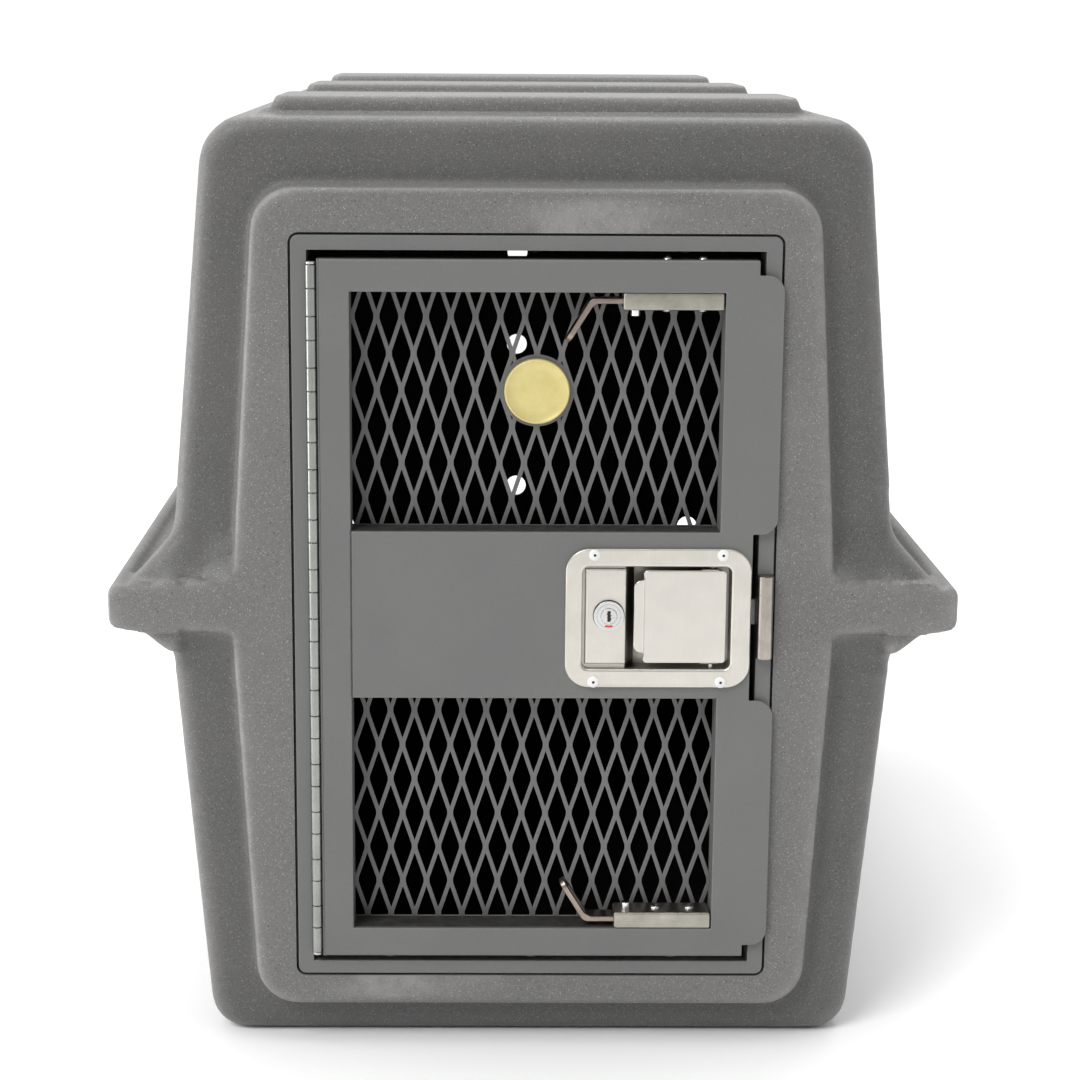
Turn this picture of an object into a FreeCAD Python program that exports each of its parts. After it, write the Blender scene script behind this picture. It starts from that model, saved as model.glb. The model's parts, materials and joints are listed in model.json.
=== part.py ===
import FreeCAD, Part
import math
import os
import re
import Sketcher

# Pet transport carrier: a rotomoulded shell with a steel door set in its front.
# Millimetres. +Z up, the front faces -Y, the origin is on the floor under the middle.

DIMS = {
    # moulded shell
    "front_y": -445.0,          # face of the raised surround, the door frame and the shelf
    "face_y": -426.0,           # face of the shell behind the surround
    "rear_y": 451.0,
    "wall": 5.0,
    "floor_top": 10.5,
    "shell_top": 717.5,
    "half_top": 247.0,
    "half_waist": 280.5,
    "half_base": 250.5,
    "waist_z": 345.0,
    "corner_top": 38.0,
    "corner_base": 28.0,
    "face_round": 15.0,
    # raised surround of the doorway
    "surround_low": 31.5,
    "surround_high": 666.5,
    "surround_base": 212.0,
    "surround_waist": 229.5,
    "surround_top": 208.5,
    "surround_corner": 33.0,
    "surround_round": 5.0,
    # carrying shelf down each side
    "shelf_tip": 322.0,
    "shelf_low": 333.5,
    "shelf_high": 369.0,
    "shelf_deck": 364.0,
    "shelf_lip": 11.0,
    "shelf_foot": 313.0,        # where its sloping underside meets the side
    "shelf_round": 8.5,
    "shelf_rear_gap": 8.0,
    "shelf_hollow": 8.0,
    # sloping webs that blend the shelf's front into the shell
    "web_rise": 42.0,           # above the shelf
    "web_drop": 27.0,           # below it
    "web_back_y": -400.0,
    "web_inset": 14.0,          # from the shelf's tip
    # roof
    "rib_half": 194.0,
    "rib_top": 731.5,
    "rib_depth": 100.0,
    "rib_pitch": 361.5,
    "rib_centre_y": 6.0,
    "rib_flare": 6.0,
    "rib_round": 5.0,
    "roof_half": 205.0,
    "roof_top": 721.5,
    "roof_front_y": -398.0,
    "roof_rear_y": 410.0,
    # base recess and drain
    "recess_half": 200.0,
    "recess_y": 380.0,
    "recess_depth": 4.0,
    "drain_z": 34.0,
    "drain_bore": 14.0,
    "drain_flange": 20.0,
    "drain_proud": 6.0,
    "drain_stem": 8.0,
    # vents
    "vent_r": 11.0,
    "vent_high": 538.5,
    "vent_mid": 436.5,
    "vent_low": 277.0,
    "vent_side_x": 193.0,
    "vent_side_z": 231.0,
    "vent_wall_y": 180.0,
    "vent_wall_high": 590.0,
    "vent_wall_low": 500.0,
    # doorway and its frame
    "doorway_half": 174.0,
    "doorway_low": 63.0,
    "doorway_high": 627.0,
    "frame_half": 180.75,
    "frame_low": 58.0,
    "frame_high": 632.0,
    "frame_corner": 6.0,
    "flange": 2.5,
    "frame_gap": 1.8,           # dark line between the frame and the shell's recess
    "jamb_half": 169.0,
    "jamb_low": 68.5,
    "jamb_high": 621.0,
    "jamb_depth": 40.0,
    "sheet": 2.0,
    # frame screws and their inserts
    "screw_r": 2.5,
    "screw_head_r": 5.0,
    "screw_head": 2.2,
    "screw_length": 14.0,
    "screw_y": -431.0,
    "insert_r": 4.0,
    "insert_bore": 2.55,
    # continuous hinge
    "hinge_x": -165.8,
    "hinge_y": -448.0,
    "barrel_r": 4.0,
    "pin_r": 2.4,
    "pin_bore": 2.45,
    "pin_head": 3.6,
    "pair_pitch": 38.1,
    "pair_count": 14.0,
    "frame_knuckle": 20.2,
    "door_knuckle": 17.3,
    "knuckle_gap": 0.3,
    "hinge_low": 77.5,
    "leaf": 1.8,
    "frame_leaf_set": 1.4,      # from the hinge axis to the frame leaf
    "door_leaf_set": 2.5,       # from the hinge axis to the door leaf
    "leaf_rear_y": -418.0,
    "leaf_relief": 4.7,
    # door pan
    "door_left": -161.5,
    "door_right": 164.0,
    "door_low": 74.5,
    "door_high": 615.0,
    "door_front_y": -451.0,
    "door_depth": 30.0,
    "door_bend": 2.5,
    "flap_right": 182.5,
    "flap_round": 12.5,
    "flap_low_start": 84.0,
    "flap_low_end": 281.0,
    "flap_high_start": 410.0,
    "flap_high_end": 604.0,
    "window_left": -137.5,
    "window_right": 139.5,
    "window_low_start": 97.5,
    "window_low_end": 282.5,
    "window_high_start": 411.5,
    "window_high_end": 591.0,
    "seam": 0.6,
    # expanded metal mesh
    "mesh_y": -423.0,
    "mesh_sheet": 2.0,
    "mesh_edge": 1.6,           # how far the mesh runs behind the window's edge
    "mesh_pitch": 18.5,
    "mesh_row": 27.7,
    "mesh_strand": 3.25,
    "mesh_node_flat": 2.3,
    "mesh_pad_r": 27.2,
    "badge_x": 1.6,
    "badge_z": 514.3,
    "badge_r": 24.5,
    "badge_depth": 6.0,
    "badge_rim": 2.5,
    "badge_dish": 1.0,
    "badge_bore": 2.1,
    "badge_thread": 3.5,
    "badge_head_r": 4.0,
    # paddle latch
    "latch_x": 93.6,
    "latch_z": 345.7,
    "latch_width": 139.8,
    "latch_height": 107.4,
    "latch_round": 18.0,
    "latch_front_y": -454.0,
    "latch_plate": 3.0,
    "dish_left": 36.5,
    "dish_right": 148.5,
    "dish_low": 306.5,
    "dish_high": 385.5,
    "dish_wall": 1.5,
    "dish_clear": 0.6,
    "dish_floor_y": -436.0,
    "pad_left": 38.5,
    "pad_right": 69.0,
    "pad_slope": 7.0,
    "pad_low": 310.0,
    "pad_high": 384.0,
    "pad_front_y": -452.5,
    "pad_edge": 2.0,
    "ledge_y": -450.0,          # the shallow step that the raised pad stands on
    "dish_corner": 5.0,
    "dish_edge": 2.2,
    "latch_edge": 1.2,
    "lock_x": 56.5,
    "lock_z": 348.0,
    "lock_r": 9.5,
    "lock_flange_r": 11.5,
    "lock_flange": 3.0,
    "plug_r": 6.0,
    "plug_bore": 6.05,
    "key_width": 2.2,
    "key_height": 8.0,
    "cam_reach": 21.0,
    "cam_sheet": 2.0,
    # paddle
    "paddle_left": 82.5,
    "paddle_right": 145.0,
    "paddle_low": 311.0,
    "paddle_high": 383.0,
    "paddle_y": -453.5,
    "paddle_sheet": 2.0,
    "tab_left": 75.5,
    "tab_low": 319.0,
    "tab_high": 375.0,
    "pivot_x": 134.5,
    "pivot_y": -447.0,
    "pivot_r": 2.0,
    "pivot_bore": 2.05,
    "ear_rear_y": -443.0,
    "tail_end_y": -427.6,
    "tail_half": 2.5,
    "tail_height": 14.0,
    # slam bolt behind the latch
    "bolt_y": -430.0,
    "bolt_sheet": 5.0,
    "bolt_half": 10.0,
    "bolt_left": 104.0,
    "bolt_tip": 175.0,
    "bolt_window": 4.3,
    "bracket_left": 108.0,
    "bracket_right": 156.0,
    "bracket_half": 20.0,
    "spring_r": 2.2,
    "torsion_r": 3.0,
    "spring_wire": 0.5,
    "spring_turns": 7.0,
    # strike clip on the frame's edge
    "strike_x": 174.5,
    "strike_r": 6.0,
    "strike_low": 314.6,
    "strike_high": 378.7,
    "strike_proud": 12.0,
    "strike_sheet": 1.8,
    "strike_rivet_rise": 24.0,
    # slide latches in the window corners
    "slide_left": 64.0,
    "slide_right": 138.5,
    "slide_tall": 13.0,
    "slide_front_y": -451.0,
    "slide_deep": 23.0,
    "bar_front_y": -447.5,      # the lever's wide strip
    "bolt_front_y": -441.5,     # the narrow end that enters the jamb
    "bar_back_y": -431.5,
    "bar_inset": 4.5,
    "bar_shoulder": 100.0,
    "bar_slot": 2.0,
    "bar_tip": 174.0,
    "bar_bend_x": 43.0,
    "bar_end_x": 21.5,
    "bar_drop": 31.0,
    "slide_travel": 12.0,
    "slide_clear": 0.3,
    "stop_x": 73.5,
    "stop_r": 3.5,
    "stop_shank": 2.0,
    "stop_proud": 5.0,
    "slide_screw_near": 96.5,
    "slide_screw_far": 123.0,
    "slide_screw_r": 2.2,
    "slide_head_r": 3.8,
    "slide_head": 2.4,
    # rivets
    "rivet_r": 2.4,
    "rivet_head_r": 4.5,
    "rivet_head": 2.0,
    "leaf_rivet_r": 1.6,
    "leaf_rivet_head_r": 3.0,
    "leaf_rivet_head": 1.1,
    "leaf_rivet_y": -430.0,
    "leaf_rivet_pitch": 76.2,
    "latch_rivet_x": 48.2,
    "latch_rivet_z": 49.2,
}

DOC = FreeCAD.newDocument("pet_carrier")
PIECES = {}


def fill_sheet():
    sheet = DOC.addObject("Spreadsheet::Sheet", "Dims")
    for row, (alias, value) in enumerate(DIMS.items(), start=1):
        sheet.set(f"A{row}", alias)
        sheet.set(f"B{row}", str(value))
        sheet.setAlias(f"B{row}", alias)
    DOC.recompute()


def bound(text):
    """The same sum, with each cell name written as the sheet's own."""
    return re.sub(r"[a-z]\w*", lambda word: "Dims." + word.group(0), str(text))


def number(text):
    """The value of a sum of products of cell names and plain numbers."""
    total = 0.0
    for sign, term in re.findall(r"([+-]?)([^+-]+)", str(text).replace(" ", "")):
        product = 1.0
        for operator, factor in re.findall(r"([*/]?)([^*/]+)", term):
            value = DIMS[factor] if factor in DIMS else float(factor)
            product = product / value if operator == "/" else product * value
        total += -product if sign == "-" else product
    return total


# ---- Part primitives and booleans, with every size bound to the sheet ----

def place(item, at):
    for axis, text in zip("xyz", at):
        item.setExpression(f"Placement.Base.{axis}", bound(text))


def box(name, low, high):
    item = DOC.addObject("Part::Box", name)
    for size, start, end in zip(("Length", "Width", "Height"), low, high):
        item.setExpression(size, f"({bound(end)}) - ({bound(start)})")
    place(item, low)
    return item


TURNS = {
    "x": FreeCAD.Rotation(FreeCAD.Vector(0, 1, 0), 90),
    "y": FreeCAD.Rotation(FreeCAD.Vector(1, 0, 0), -90),
    "z": FreeCAD.Rotation(),
}


def rod(name, axis, at, length, radius):
    """A cylinder from a point, along an axis."""
    item = DOC.addObject("Part::Cylinder", name)
    item.setExpression("Radius", bound(radius))
    item.setExpression("Height", bound(length))
    item.Placement = FreeCAD.Placement(FreeCAD.Vector(), TURNS[axis])
    place(item, at)
    return item


def dome(name, turn, at, radius, height):
    """Half an ellipsoid whose flat side is at a point, bulging along turn's own Z."""
    item = DOC.addObject("Part::Ellipsoid", name)
    item.setExpression("Radius1", bound(height))
    item.setExpression("Radius2", bound(radius))
    item.setExpression("Radius3", bound(radius))
    item.Angle1 = 0
    item.Placement = FreeCAD.Placement(FreeCAD.Vector(), turn)
    place(item, at)
    return item


def fuse(name, items):
    joined = DOC.addObject("Part::MultiFuse", name)
    joined.Shapes = list(items)
    joined.Refine = True
    return joined


def cut(name, base, tools):
    tool = tools[0] if len(tools) == 1 else fuse(name + "_tools", tools)
    result = DOC.addObject("Part::Cut", name)
    result.Base = base
    result.Tool = tool
    result.Refine = True
    return result


def group(name, items):
    held = DOC.addObject("Part::Compound", name)
    held.Links = list(items)
    return held


def piece(node, item):
    """Names an object as one of the carrier's sub-parts."""
    item.Label = node
    PIECES[node] = item


# ---- PartDesign bodies: sketches on their own origin planes, pads, pockets, fillets ----

PLANES = {"XY": ("XY_Plane", 1), "XZ": ("XZ_Plane", -1), "YZ": ("YZ_Plane", 1)}


def new_body(name):
    return DOC.addObject("PartDesign::Body", name)


def new_sketch(body, plane, at):
    """A sketch on one of the body's origin planes, moved along its normal to a coordinate."""
    role, side = PLANES[plane]
    support = next(f for f in body.Origin.OriginFeatures if f.Role == role)
    sketch = body.newObject("Sketcher::SketchObject", f"{body.Name}_sketch")
    sketch.AttachmentSupport = [(support, "")]
    sketch.MapMode = "FlatFace"
    sign = "-" if side < 0 else ""
    sketch.setExpression("AttachmentOffset.Base.z", f"{sign}({bound(at)})")
    return sketch


def pin_down(sketch, shape, end, point):
    for kind, text in zip(("DistanceX", "DistanceY"), point):
        rule = Sketcher.Constraint(kind, -1, 1, shape, end, number(text))
        index = sketch.addConstraint(rule)
        sketch.setExpression(f"Constraints[{index}]", bound(text))


def polygon(sketch, points):
    """A closed outline whose corners are bound to the sheet."""
    corners = [FreeCAD.Vector(number(a), number(b), 0) for a, b in points]
    first = sketch.GeometryCount
    for start, end in zip(corners, corners[1:] + corners[:1]):
        sketch.addGeometry(Part.LineSegment(start, end))
    for index, point in enumerate(points):
        line = first + index
        following = first + (index + 1) % len(points)
        sketch.addConstraint(Sketcher.Constraint("Coincident", line, 2, following, 1))
        pin_down(sketch, line, 1, point)


def circle(sketch, centre, radius):
    middle = FreeCAD.Vector(number(centre[0]), number(centre[1]), 0)
    up = FreeCAD.Vector(0, 0, 1)
    index = sketch.addGeometry(Part.Circle(middle, up, number(radius)))
    pin_down(sketch, index, 3, centre)
    rule = sketch.addConstraint(Sketcher.Constraint("Radius", index, number(radius)))
    sketch.setExpression(f"Constraints[{rule}]", bound(radius))


def rectangle(left, low, right, high):
    return [(left, low), (right, low), (right, high), (left, high)]


def pad(body, plane, start, end, points):
    """Adds the outline's prism between two coordinates along the plane's normal."""
    sketch = new_sketch(body, plane, start)
    polygon(sketch, points)
    feature = body.newObject("PartDesign::Pad", f"{body.Name}_pad")
    feature.Profile = sketch
    feature.setExpression("Length", f"({bound(end)}) - ({bound(start)})")
    feature.Reversed = PLANES[plane][1] < 0
    return feature


def pad_disc(body, plane, start, end, centre, radius):
    sketch = new_sketch(body, plane, start)
    circle(sketch, centre, radius)
    feature = body.newObject("PartDesign::Pad", f"{body.Name}_disc")
    feature.Profile = sketch
    feature.setExpression("Length", f"({bound(end)}) - ({bound(start)})")
    feature.Reversed = PLANES[plane][1] < 0
    return feature


def pocket(body, plane, start, end, outlines=(), discs=()):
    """Takes away prisms between two coordinates, and checks that something went."""
    DOC.recompute()
    before = body.Shape.Volume
    sketch = new_sketch(body, plane, start)
    for points in outlines:
        polygon(sketch, points)
    for centre, radius in discs:
        circle(sketch, centre, radius)
    feature = body.newObject("PartDesign::Pocket", f"{body.Name}_pocket")
    feature.Profile = sketch
    feature.setExpression("Length", f"({bound(end)}) - ({bound(start)})")
    feature.Reversed = PLANES[plane][1] > 0
    DOC.recompute()
    if body.Shape.Volume >= before:
        raise RuntimeError(f"a pocket of {body.Name} removes nothing")
    return feature


AXES = {"x": ("XLength", 0), "y": ("YLength", 1), "z": ("ZLength", 2)}


def along(axis):
    """True for an edge that runs mainly along an axis."""
    def test(edge):
        sizes = [edge.BoundBox.XLength, edge.BoundBox.YLength, edge.BoundBox.ZLength]
        own = sizes.pop(AXES[axis][1])
        return own > 3 * max(sizes)
    return test


def flat_at(axis, text):
    """True for an edge that lies in the plane at a coordinate."""
    def test(edge):
        length, index = AXES[axis]
        off = abs(edge.CenterOfMass[index] - number(text))
        return off < 0.01 and getattr(edge.BoundBox, length) < 0.01
    return test


def both(first, second):
    return lambda edge: first(edge) and second(edge)


def within(axis, low, high):
    """True for an edge whose middle lies between two coordinates."""
    index = AXES[axis][1]
    start, end = number(low) - 0.01, number(high) + 0.01
    return lambda edge: start <= edge.CenterOfMass[index] <= end


def round_edges(body, radius, *tests):
    """Rounds every edge of the body's last feature that passes any of the tests."""
    DOC.recompute()
    base = body.Tip
    chosen = [
        f"Edge{index}"
        for index, edge in enumerate(base.Shape.Edges, start=1)
        if any(test(edge) for test in tests)
    ]
    if not chosen:
        raise RuntimeError(f"no edge of {body.Name} to round")
    feature = body.newObject("PartDesign::Fillet", f"{body.Name}_fillet")
    feature.Base = (base, chosen)
    feature.setExpression("Radius", bound(radius))
    return feature


# ---- the moulded shell ----

def negated(text):
    """The same sum with every sign turned round."""
    terms = re.findall(r"([+-]?)([^+-]+)", text.replace(" ", ""))
    flipped = [f"{'+' if sign == '-' else '-'} {term}" for sign, term in terms]
    return " ".join(flipped).removeprefix("+ ")


def flipped_sideways(points):
    return [(negated(x), z) for x, z in reversed(points)]


def mirrored(points):
    """A right-hand outline followed by its mirror image, for a symmetric shape."""
    return points + flipped_sideways(points)


def shell_form():
    form = new_body("shell_form")
    outline = mirrored([
        ("half_base", "0"),
        ("half_waist", "waist_z"),
        ("half_top", "shell_top"),
    ])
    pad(form, "XZ", "face_y", "rear_y", outline)
    round_edges(form, "corner_top", both(along("y"), within("z", "shell_top - 5", "shell_top")))
    round_edges(form, "corner_base", both(along("y"), within("z", "-1", "5")))
    round_edges(form, "face_round", flat_at("y", "face_y"), flat_at("y", "rear_y"))
    return form


def surround_form():
    form = new_body("surround_form")
    outline = mirrored([
        ("surround_base", "surround_low"),
        ("surround_waist", "waist_z"),
        ("surround_top", "surround_high"),
    ])
    pad(form, "XZ", "front_y", "face_y + face_round", outline)
    low = both(along("y"), within("z", "surround_low - 1", "surround_low + 5"))
    high = both(along("y"), within("z", "surround_high - 5", "surround_high + 1"))
    round_edges(form, "surround_corner", low, high)
    round_edges(form, "surround_round", flat_at("y", "front_y"))
    return form


def shelf_form(side):
    """The carrying shelf: a flat deck with a raised lip and a sloping underside."""
    form = new_body(f"shelf_form_{side}")
    section = [
        ("half_waist - 12", "shelf_foot - 2"),
        ("half_waist - 2", "shelf_foot"),
        ("shelf_tip - 22", "shelf_low - 2"),
        ("shelf_tip", "shelf_low + 1"),
        ("shelf_tip", "shelf_high"),
        ("shelf_tip - shelf_lip", "shelf_high"),
        ("shelf_tip - shelf_lip - 5", "shelf_deck"),
        ("half_waist + 8", "shelf_deck"),
        ("half_waist - 3", "shelf_deck + 12"),
        ("half_waist - 12", "shelf_deck + 12"),
    ]
    if side == "left":
        section = flipped_sideways(section)
    pad(form, "XZ", "front_y", "rear_y - shelf_rear_gap", section)
    reach, waist = number("shelf_tip"), number("half_waist")
    tip = both(along("y"), lambda edge: abs(edge.CenterOfMass.x) > reach - 1)
    round_edges(form, "shelf_round", tip)
    ends = (flat_at("y", "front_y"), flat_at("y", "rear_y - shelf_rear_gap"))
    round_edges(form, "3", *[both(end, lambda edge: abs(edge.CenterOfMass.x) > waist) for end in ends])
    return form


def shelf_front_form(side):
    """The flat front of a shelf, flaring into the side of the surround."""
    form = new_body(f"shelf_front_{side}")
    outline = [
        ("surround_waist - 20", "shelf_low - 9"),
        ("surround_waist", "shelf_low - 5"),
        ("shelf_tip - 45", "shelf_low"),
        ("shelf_tip - 8", "shelf_low + 2"),
        ("shelf_tip - 8", "shelf_high - 2"),
        ("shelf_tip - 45", "shelf_high"),
        ("surround_waist", "shelf_high + 8"),
        ("surround_waist - 20", "shelf_high + 16"),
    ]
    if side == "left":
        outline = flipped_sideways(outline)
    pad(form, "XZ", "front_y", "face_y + face_round", outline)
    round_edges(form, "6", both(flat_at("y", "front_y"), along("x")))
    return form


def web_form(side, level):
    """The sloping web above or below a shelf's front: wide at the shelf, flush with the shell beyond."""
    form = DOC.addObject("Part::Wedge", f"web_{level}_{side}")
    above = level == "above"
    inner, tip = "surround_waist - 12", "shelf_tip - web_inset"
    sizes = {
        "Xmin": inner, "Xmax": tip, "X2min": inner, "X2max": "half_waist - 10",
        "Ymin": "0", "Ymax": "web_rise" if above else "web_drop",
    }
    depths = {"Zmin": "front_y + 1.5", "Zmax": "web_back_y", "Z2min": "face_y + 0.5", "Z2max": "web_back_y"}
    if (side == "right") == above:
        # this way round its own Z points forward, so its depths change sign and places
        depths = {"Zmax": negated(depths["Zmin"]), "Zmin": negated(depths["Zmax"]),
                  "Z2max": negated(depths["Z2min"]), "Z2min": negated(depths["Z2max"])}
    for size, text in (sizes | depths).items():
        form.setExpression(size, bound(text))
    upright = FreeCAD.Rotation(FreeCAD.Vector(1, 0, 0), 90 if above else -90)
    across = FreeCAD.Rotation(FreeCAD.Vector(0, 0, 1), 0 if side == "right" else 180)
    form.Placement = FreeCAD.Placement(FreeCAD.Vector(), across.multiply(upright))
    place(form, ("0", "0", "shelf_high - 3" if above else "shelf_low + 3"))
    return form


def rib_form(index):
    form = new_body(f"rib_form_{index}")
    middle = f"rib_centre_y + rib_pitch * {index - 1}"
    outline = mirrored([
        ("rib_half + rib_flare", "shell_top - 12"),
        ("rib_half", "rib_top"),
    ])
    pad(form, "XZ", f"{middle} - rib_depth / 2", f"{middle} + rib_depth / 2", outline)
    round_edges(form, "rib_round", both(flat_at("z", "rib_top"), along("x")),
                lambda edge: not along("x")(edge) and edge.CenterOfMass.z > number("shell_top") - 5)
    return form


def cabin_form():
    form = new_body("cabin_form")
    outline = mirrored([
        ("half_base - wall - 1", "floor_top"),
        ("half_waist - wall", "waist_z"),
        ("half_top - wall - 1", "shell_top - wall"),
    ])
    pad(form, "XZ", "face_y + wall", "rear_y - wall", outline)
    round_edges(form, "corner_base", both(along("y"), within("z", "floor_top - 1", "floor_top + 9")),
                both(along("y"), within("z", "shell_top - wall - 9", "shell_top - wall + 1")))
    return form


def vents():
    rear = [
        ("0", "vent_high"),
        ("0", "vent_mid"),
        ("0", "vent_low"),
        ("vent_side_x", "vent_side_z"),
        ("-vent_side_x", "vent_side_z"),
    ]
    holes = [
        rod(f"vent_rear_{index}", "y", (x, "rear_y - 15", z), "30", "vent_r")
        for index, (x, z) in enumerate(rear)
    ]
    for level in ("vent_wall_high", "vent_wall_low"):
        for step in (-1, 0, 1):
            y = f"rib_centre_y + {step} * vent_wall_y"
            at = ("-half_waist - 20", y, level)
            holes.append(rod(f"{level}_{step + 1}", "x", at, "2 * half_waist + 40", "vent_r"))
    return holes


def drain_cut():
    return rod("drain_cut", "y", ("0", "rear_y - 40", "drain_z"), "60", "drain_bore")


def rib_hollow(index):
    middle = f"rib_centre_y + rib_pitch * {index - 1}"
    low = ("-rib_half + 12", f"{middle} - rib_depth / 2 + 12", "shell_top - wall - 1")
    high = ("rib_half - 12", f"{middle} + rib_depth / 2 - 12", "rib_top - wall")
    return box(f"rib_hollow_{index}", low, high)


def shelf_hollow(side):
    start, end = ("-shelf_tip + shelf_hollow", "-half_waist + 14")
    if side > 0:
        start, end = ("half_waist - 14", "shelf_tip - shelf_hollow")
    low = (start, "face_y + wall + 12", "shelf_low + 6")
    high = (end, "rear_y - shelf_rear_gap - wall - 12", "shelf_deck - 7.5")
    return box(f"shelf_hollow_{'left' if side < 0 else 'right'}", low, high)


def insert_places():
    """Where the frame is screwed to the shell: (axis, sign, position) for each screw."""
    right = [("x", 1, ("jamb_half", "screw_y", f"latch_z + {rise}")) for rise in (-190, -90, 80, 170)]
    top = [("z", 1, (f"{x}", "screw_y", "jamb_high")) for x in (-110, 0, 110)]
    low = [("z", -1, (f"{x}", "screw_y", "jamb_low")) for x in (-110, 0, 110)]
    return right + top + low


def outward(at, axis, sign, start, length):
    """The corner to start a rod from, so that it runs outwards from a jamb face."""
    index = "xyz".index(axis)
    moved = list(at)
    step = start if sign > 0 else f"- {start} - {length}".replace("- -", "+ ")
    moved[index] = f"{at[index]} + {step}" if sign > 0 else f"{at[index]} {step}"
    return tuple(moved)


def frame_screws():
    screws = []
    for index, (axis, sign, at) in enumerate(insert_places()):
        shank = outward(at, axis, sign, "0", "screw_length")
        head_at = outward(at, axis, sign, "0", "0") if sign < 0 else at
        turn = {("x", 1): TURNS["x"].inverted(), ("z", 1): FreeCAD.Rotation(FreeCAD.Vector(1, 0, 0), 180),
                ("z", -1): FreeCAD.Rotation()}[(axis, sign)]
        parts = [
            rod(f"frame_screw_shank_{index}", axis, shank, "screw_length", "screw_r"),
            dome(f"frame_screw_head_{index}", turn, head_at, "screw_head_r", "screw_head"),
        ]
        screws.append(fuse(f"frame_screw_{index}", parts))
    piece("frame_screws", group("frame_screw_group", screws))


def insert_rods(name, radius, start, length):
    rods = []
    for index, (axis, sign, at) in enumerate(insert_places()):
        corner = outward(at, axis, sign, start, length)
        rods.append(rod(f"{name}_{index}", axis, corner, length, radius))
    return rods


def threaded_inserts():
    inserts = []
    outer = insert_rods("insert_body", "insert_r", "6", "10")
    inner = insert_rods("insert_bore", "insert_bore", "5", "12")
    for index, (body, bore) in enumerate(zip(outer, inner)):
        inserts.append(cut(f"insert_{index}", body, [bore]))
    piece("threaded_inserts", group("insert_group", inserts))


def bolt_pockets():
    """Room in the edge of the doorway for the tips of the three bolts."""
    spans = [("bolt", "bolt_y - 3", "latch_z - bolt_half - 2", "latch_z + bolt_half + 2")]
    for level in ("low", "high"):
        low, high = slide_levels(level)
        spans.append((level, "bolt_front_y - 1", f"{low} + 2.5", f"{high} - 2.5"))
    return [
        box(f"pocket_{name}", ("doorway_half - 1", y, low), ("doorway_half + 5", f"{y} + 14", high))
        for name, y, low, high in spans
    ]


def body_shell():
    outside = [shell_form(), surround_form()]
    outside += [shelf_form(side) for side in ("left", "right")]
    outside += [shelf_front_form(side) for side in ("left", "right")]
    outside += [web_form(side, level) for side in ("left", "right") for level in ("above", "below")]
    outside += [rib_form(index) for index in range(3)]
    outside.append(box("roof_panel", ("-roof_half", "roof_front_y", "shell_top - 12"),
                       ("roof_half", "roof_rear_y", "roof_top")))
    inside = [cabin_form()]
    inside += [rib_hollow(index) for index in range(3)]
    inside += [shelf_hollow(side) for side in (-1, 1)]
    inside.append(box("doorway_cut", ("-doorway_half", "front_y - 10", "doorway_low"),
                      ("doorway_half", "face_y + wall + 10", "doorway_high")))
    gap = "frame_gap"
    inside.append(box("frame_recess",
                      (f"-frame_half - {gap}", "front_y - 10", f"frame_low - {gap}"),
                      (f"frame_half + {gap}", "front_y + flange", f"frame_high + {gap}")))
    inside.append(box("base_recess", ("-recess_half", "-recess_y", "-1"),
                      ("recess_half", "recess_y", "recess_depth")))
    inside += bolt_pockets()
    inside += vents()
    inside.append(drain_cut())
    inside += insert_rods("insert_hole", "insert_r", "4", "13")
    shell = cut("shell_cut", fuse("shell_outside", outside), inside)
    piece("body_shell", shell)


def drain_plug():
    plug = [
        rod("drain_plug_flange", "y", ("0", "rear_y", "drain_z"), "drain_proud", "drain_flange"),
        rod("drain_plug_stem", "y", ("0", "rear_y - drain_stem", "drain_z"), "drain_stem",
            "drain_bore - 0.3"),
    ]
    slot = box("drain_plug_slot", ("-12", "rear_y + drain_proud - 2.5", "drain_z - 2"),
               ("12", "rear_y + drain_proud + 1", "drain_z + 2"))
    piece("drain_plug", cut("drain_plug_cut", fuse("drain_plug_body", plug), [slot]))


# ---- the door frame and the continuous hinge ----

def door_frame():
    frame = new_body("frame_form")
    pad(frame, "XZ", "front_y", "front_y + flange",
        rectangle("-frame_half", "frame_low", "frame_half", "frame_high"))
    round_edges(frame, "frame_corner", along("y"))
    outer = rectangle("-jamb_half - sheet", "jamb_low - sheet", "jamb_half + sheet", "jamb_high + sheet")
    pad(frame, "XZ", "front_y + flange", "front_y + jamb_depth", outer)
    pocket(frame, "XZ", "front_y", "front_y + jamb_depth",
           [rectangle("-jamb_half", "jamb_low", "jamb_half", "jamb_high")])
    openings = [rectangle("bolt_y - 3", "latch_z - bolt_half - 2", "bolt_y + bolt_sheet + 1.5",
                          "latch_z + bolt_half + 2")]
    for level in ("low", "high"):
        low, high = slide_levels(level)
        openings.append(rectangle("bolt_front_y - 0.5", f"{low} + 2.5",
                                  "bar_back_y + 2", f"{high} - 2.5"))
    pocket(frame, "YZ", "jamb_half - 3", "jamb_half + 5", openings)
    screw_spots = insert_places()
    tools = [
        rod(f"frame_hole_{index}", axis, outward(at, axis, sign, "-3", "9"), "9", "screw_r + 0.2")
        for index, (axis, sign, at) in enumerate(screw_spots)
    ]
    tools += rivet_rods("frame_leaf_hole", "hinge_low + 9.5", "hinge_x - 8", "10", "leaf_rivet_r")
    tools += [
        rod(f"strike_hole_{index}", "y", ("strike_x", "front_y - 5", level), "12", "rivet_r")
        for index, level in enumerate(strike_rivet_levels())
    ]
    piece("door_frame", cut("frame_cut", frame, tools))


def rivet_rods(name, first, start_x, length, radius):
    """A row of seven rods across the hinge leaves."""
    return [
        rod(f"{name}_{index}", "x", (start_x, "leaf_rivet_y", f"{first} + leaf_rivet_pitch * {index}"),
            length, radius)
        for index in range(7)
    ]


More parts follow.
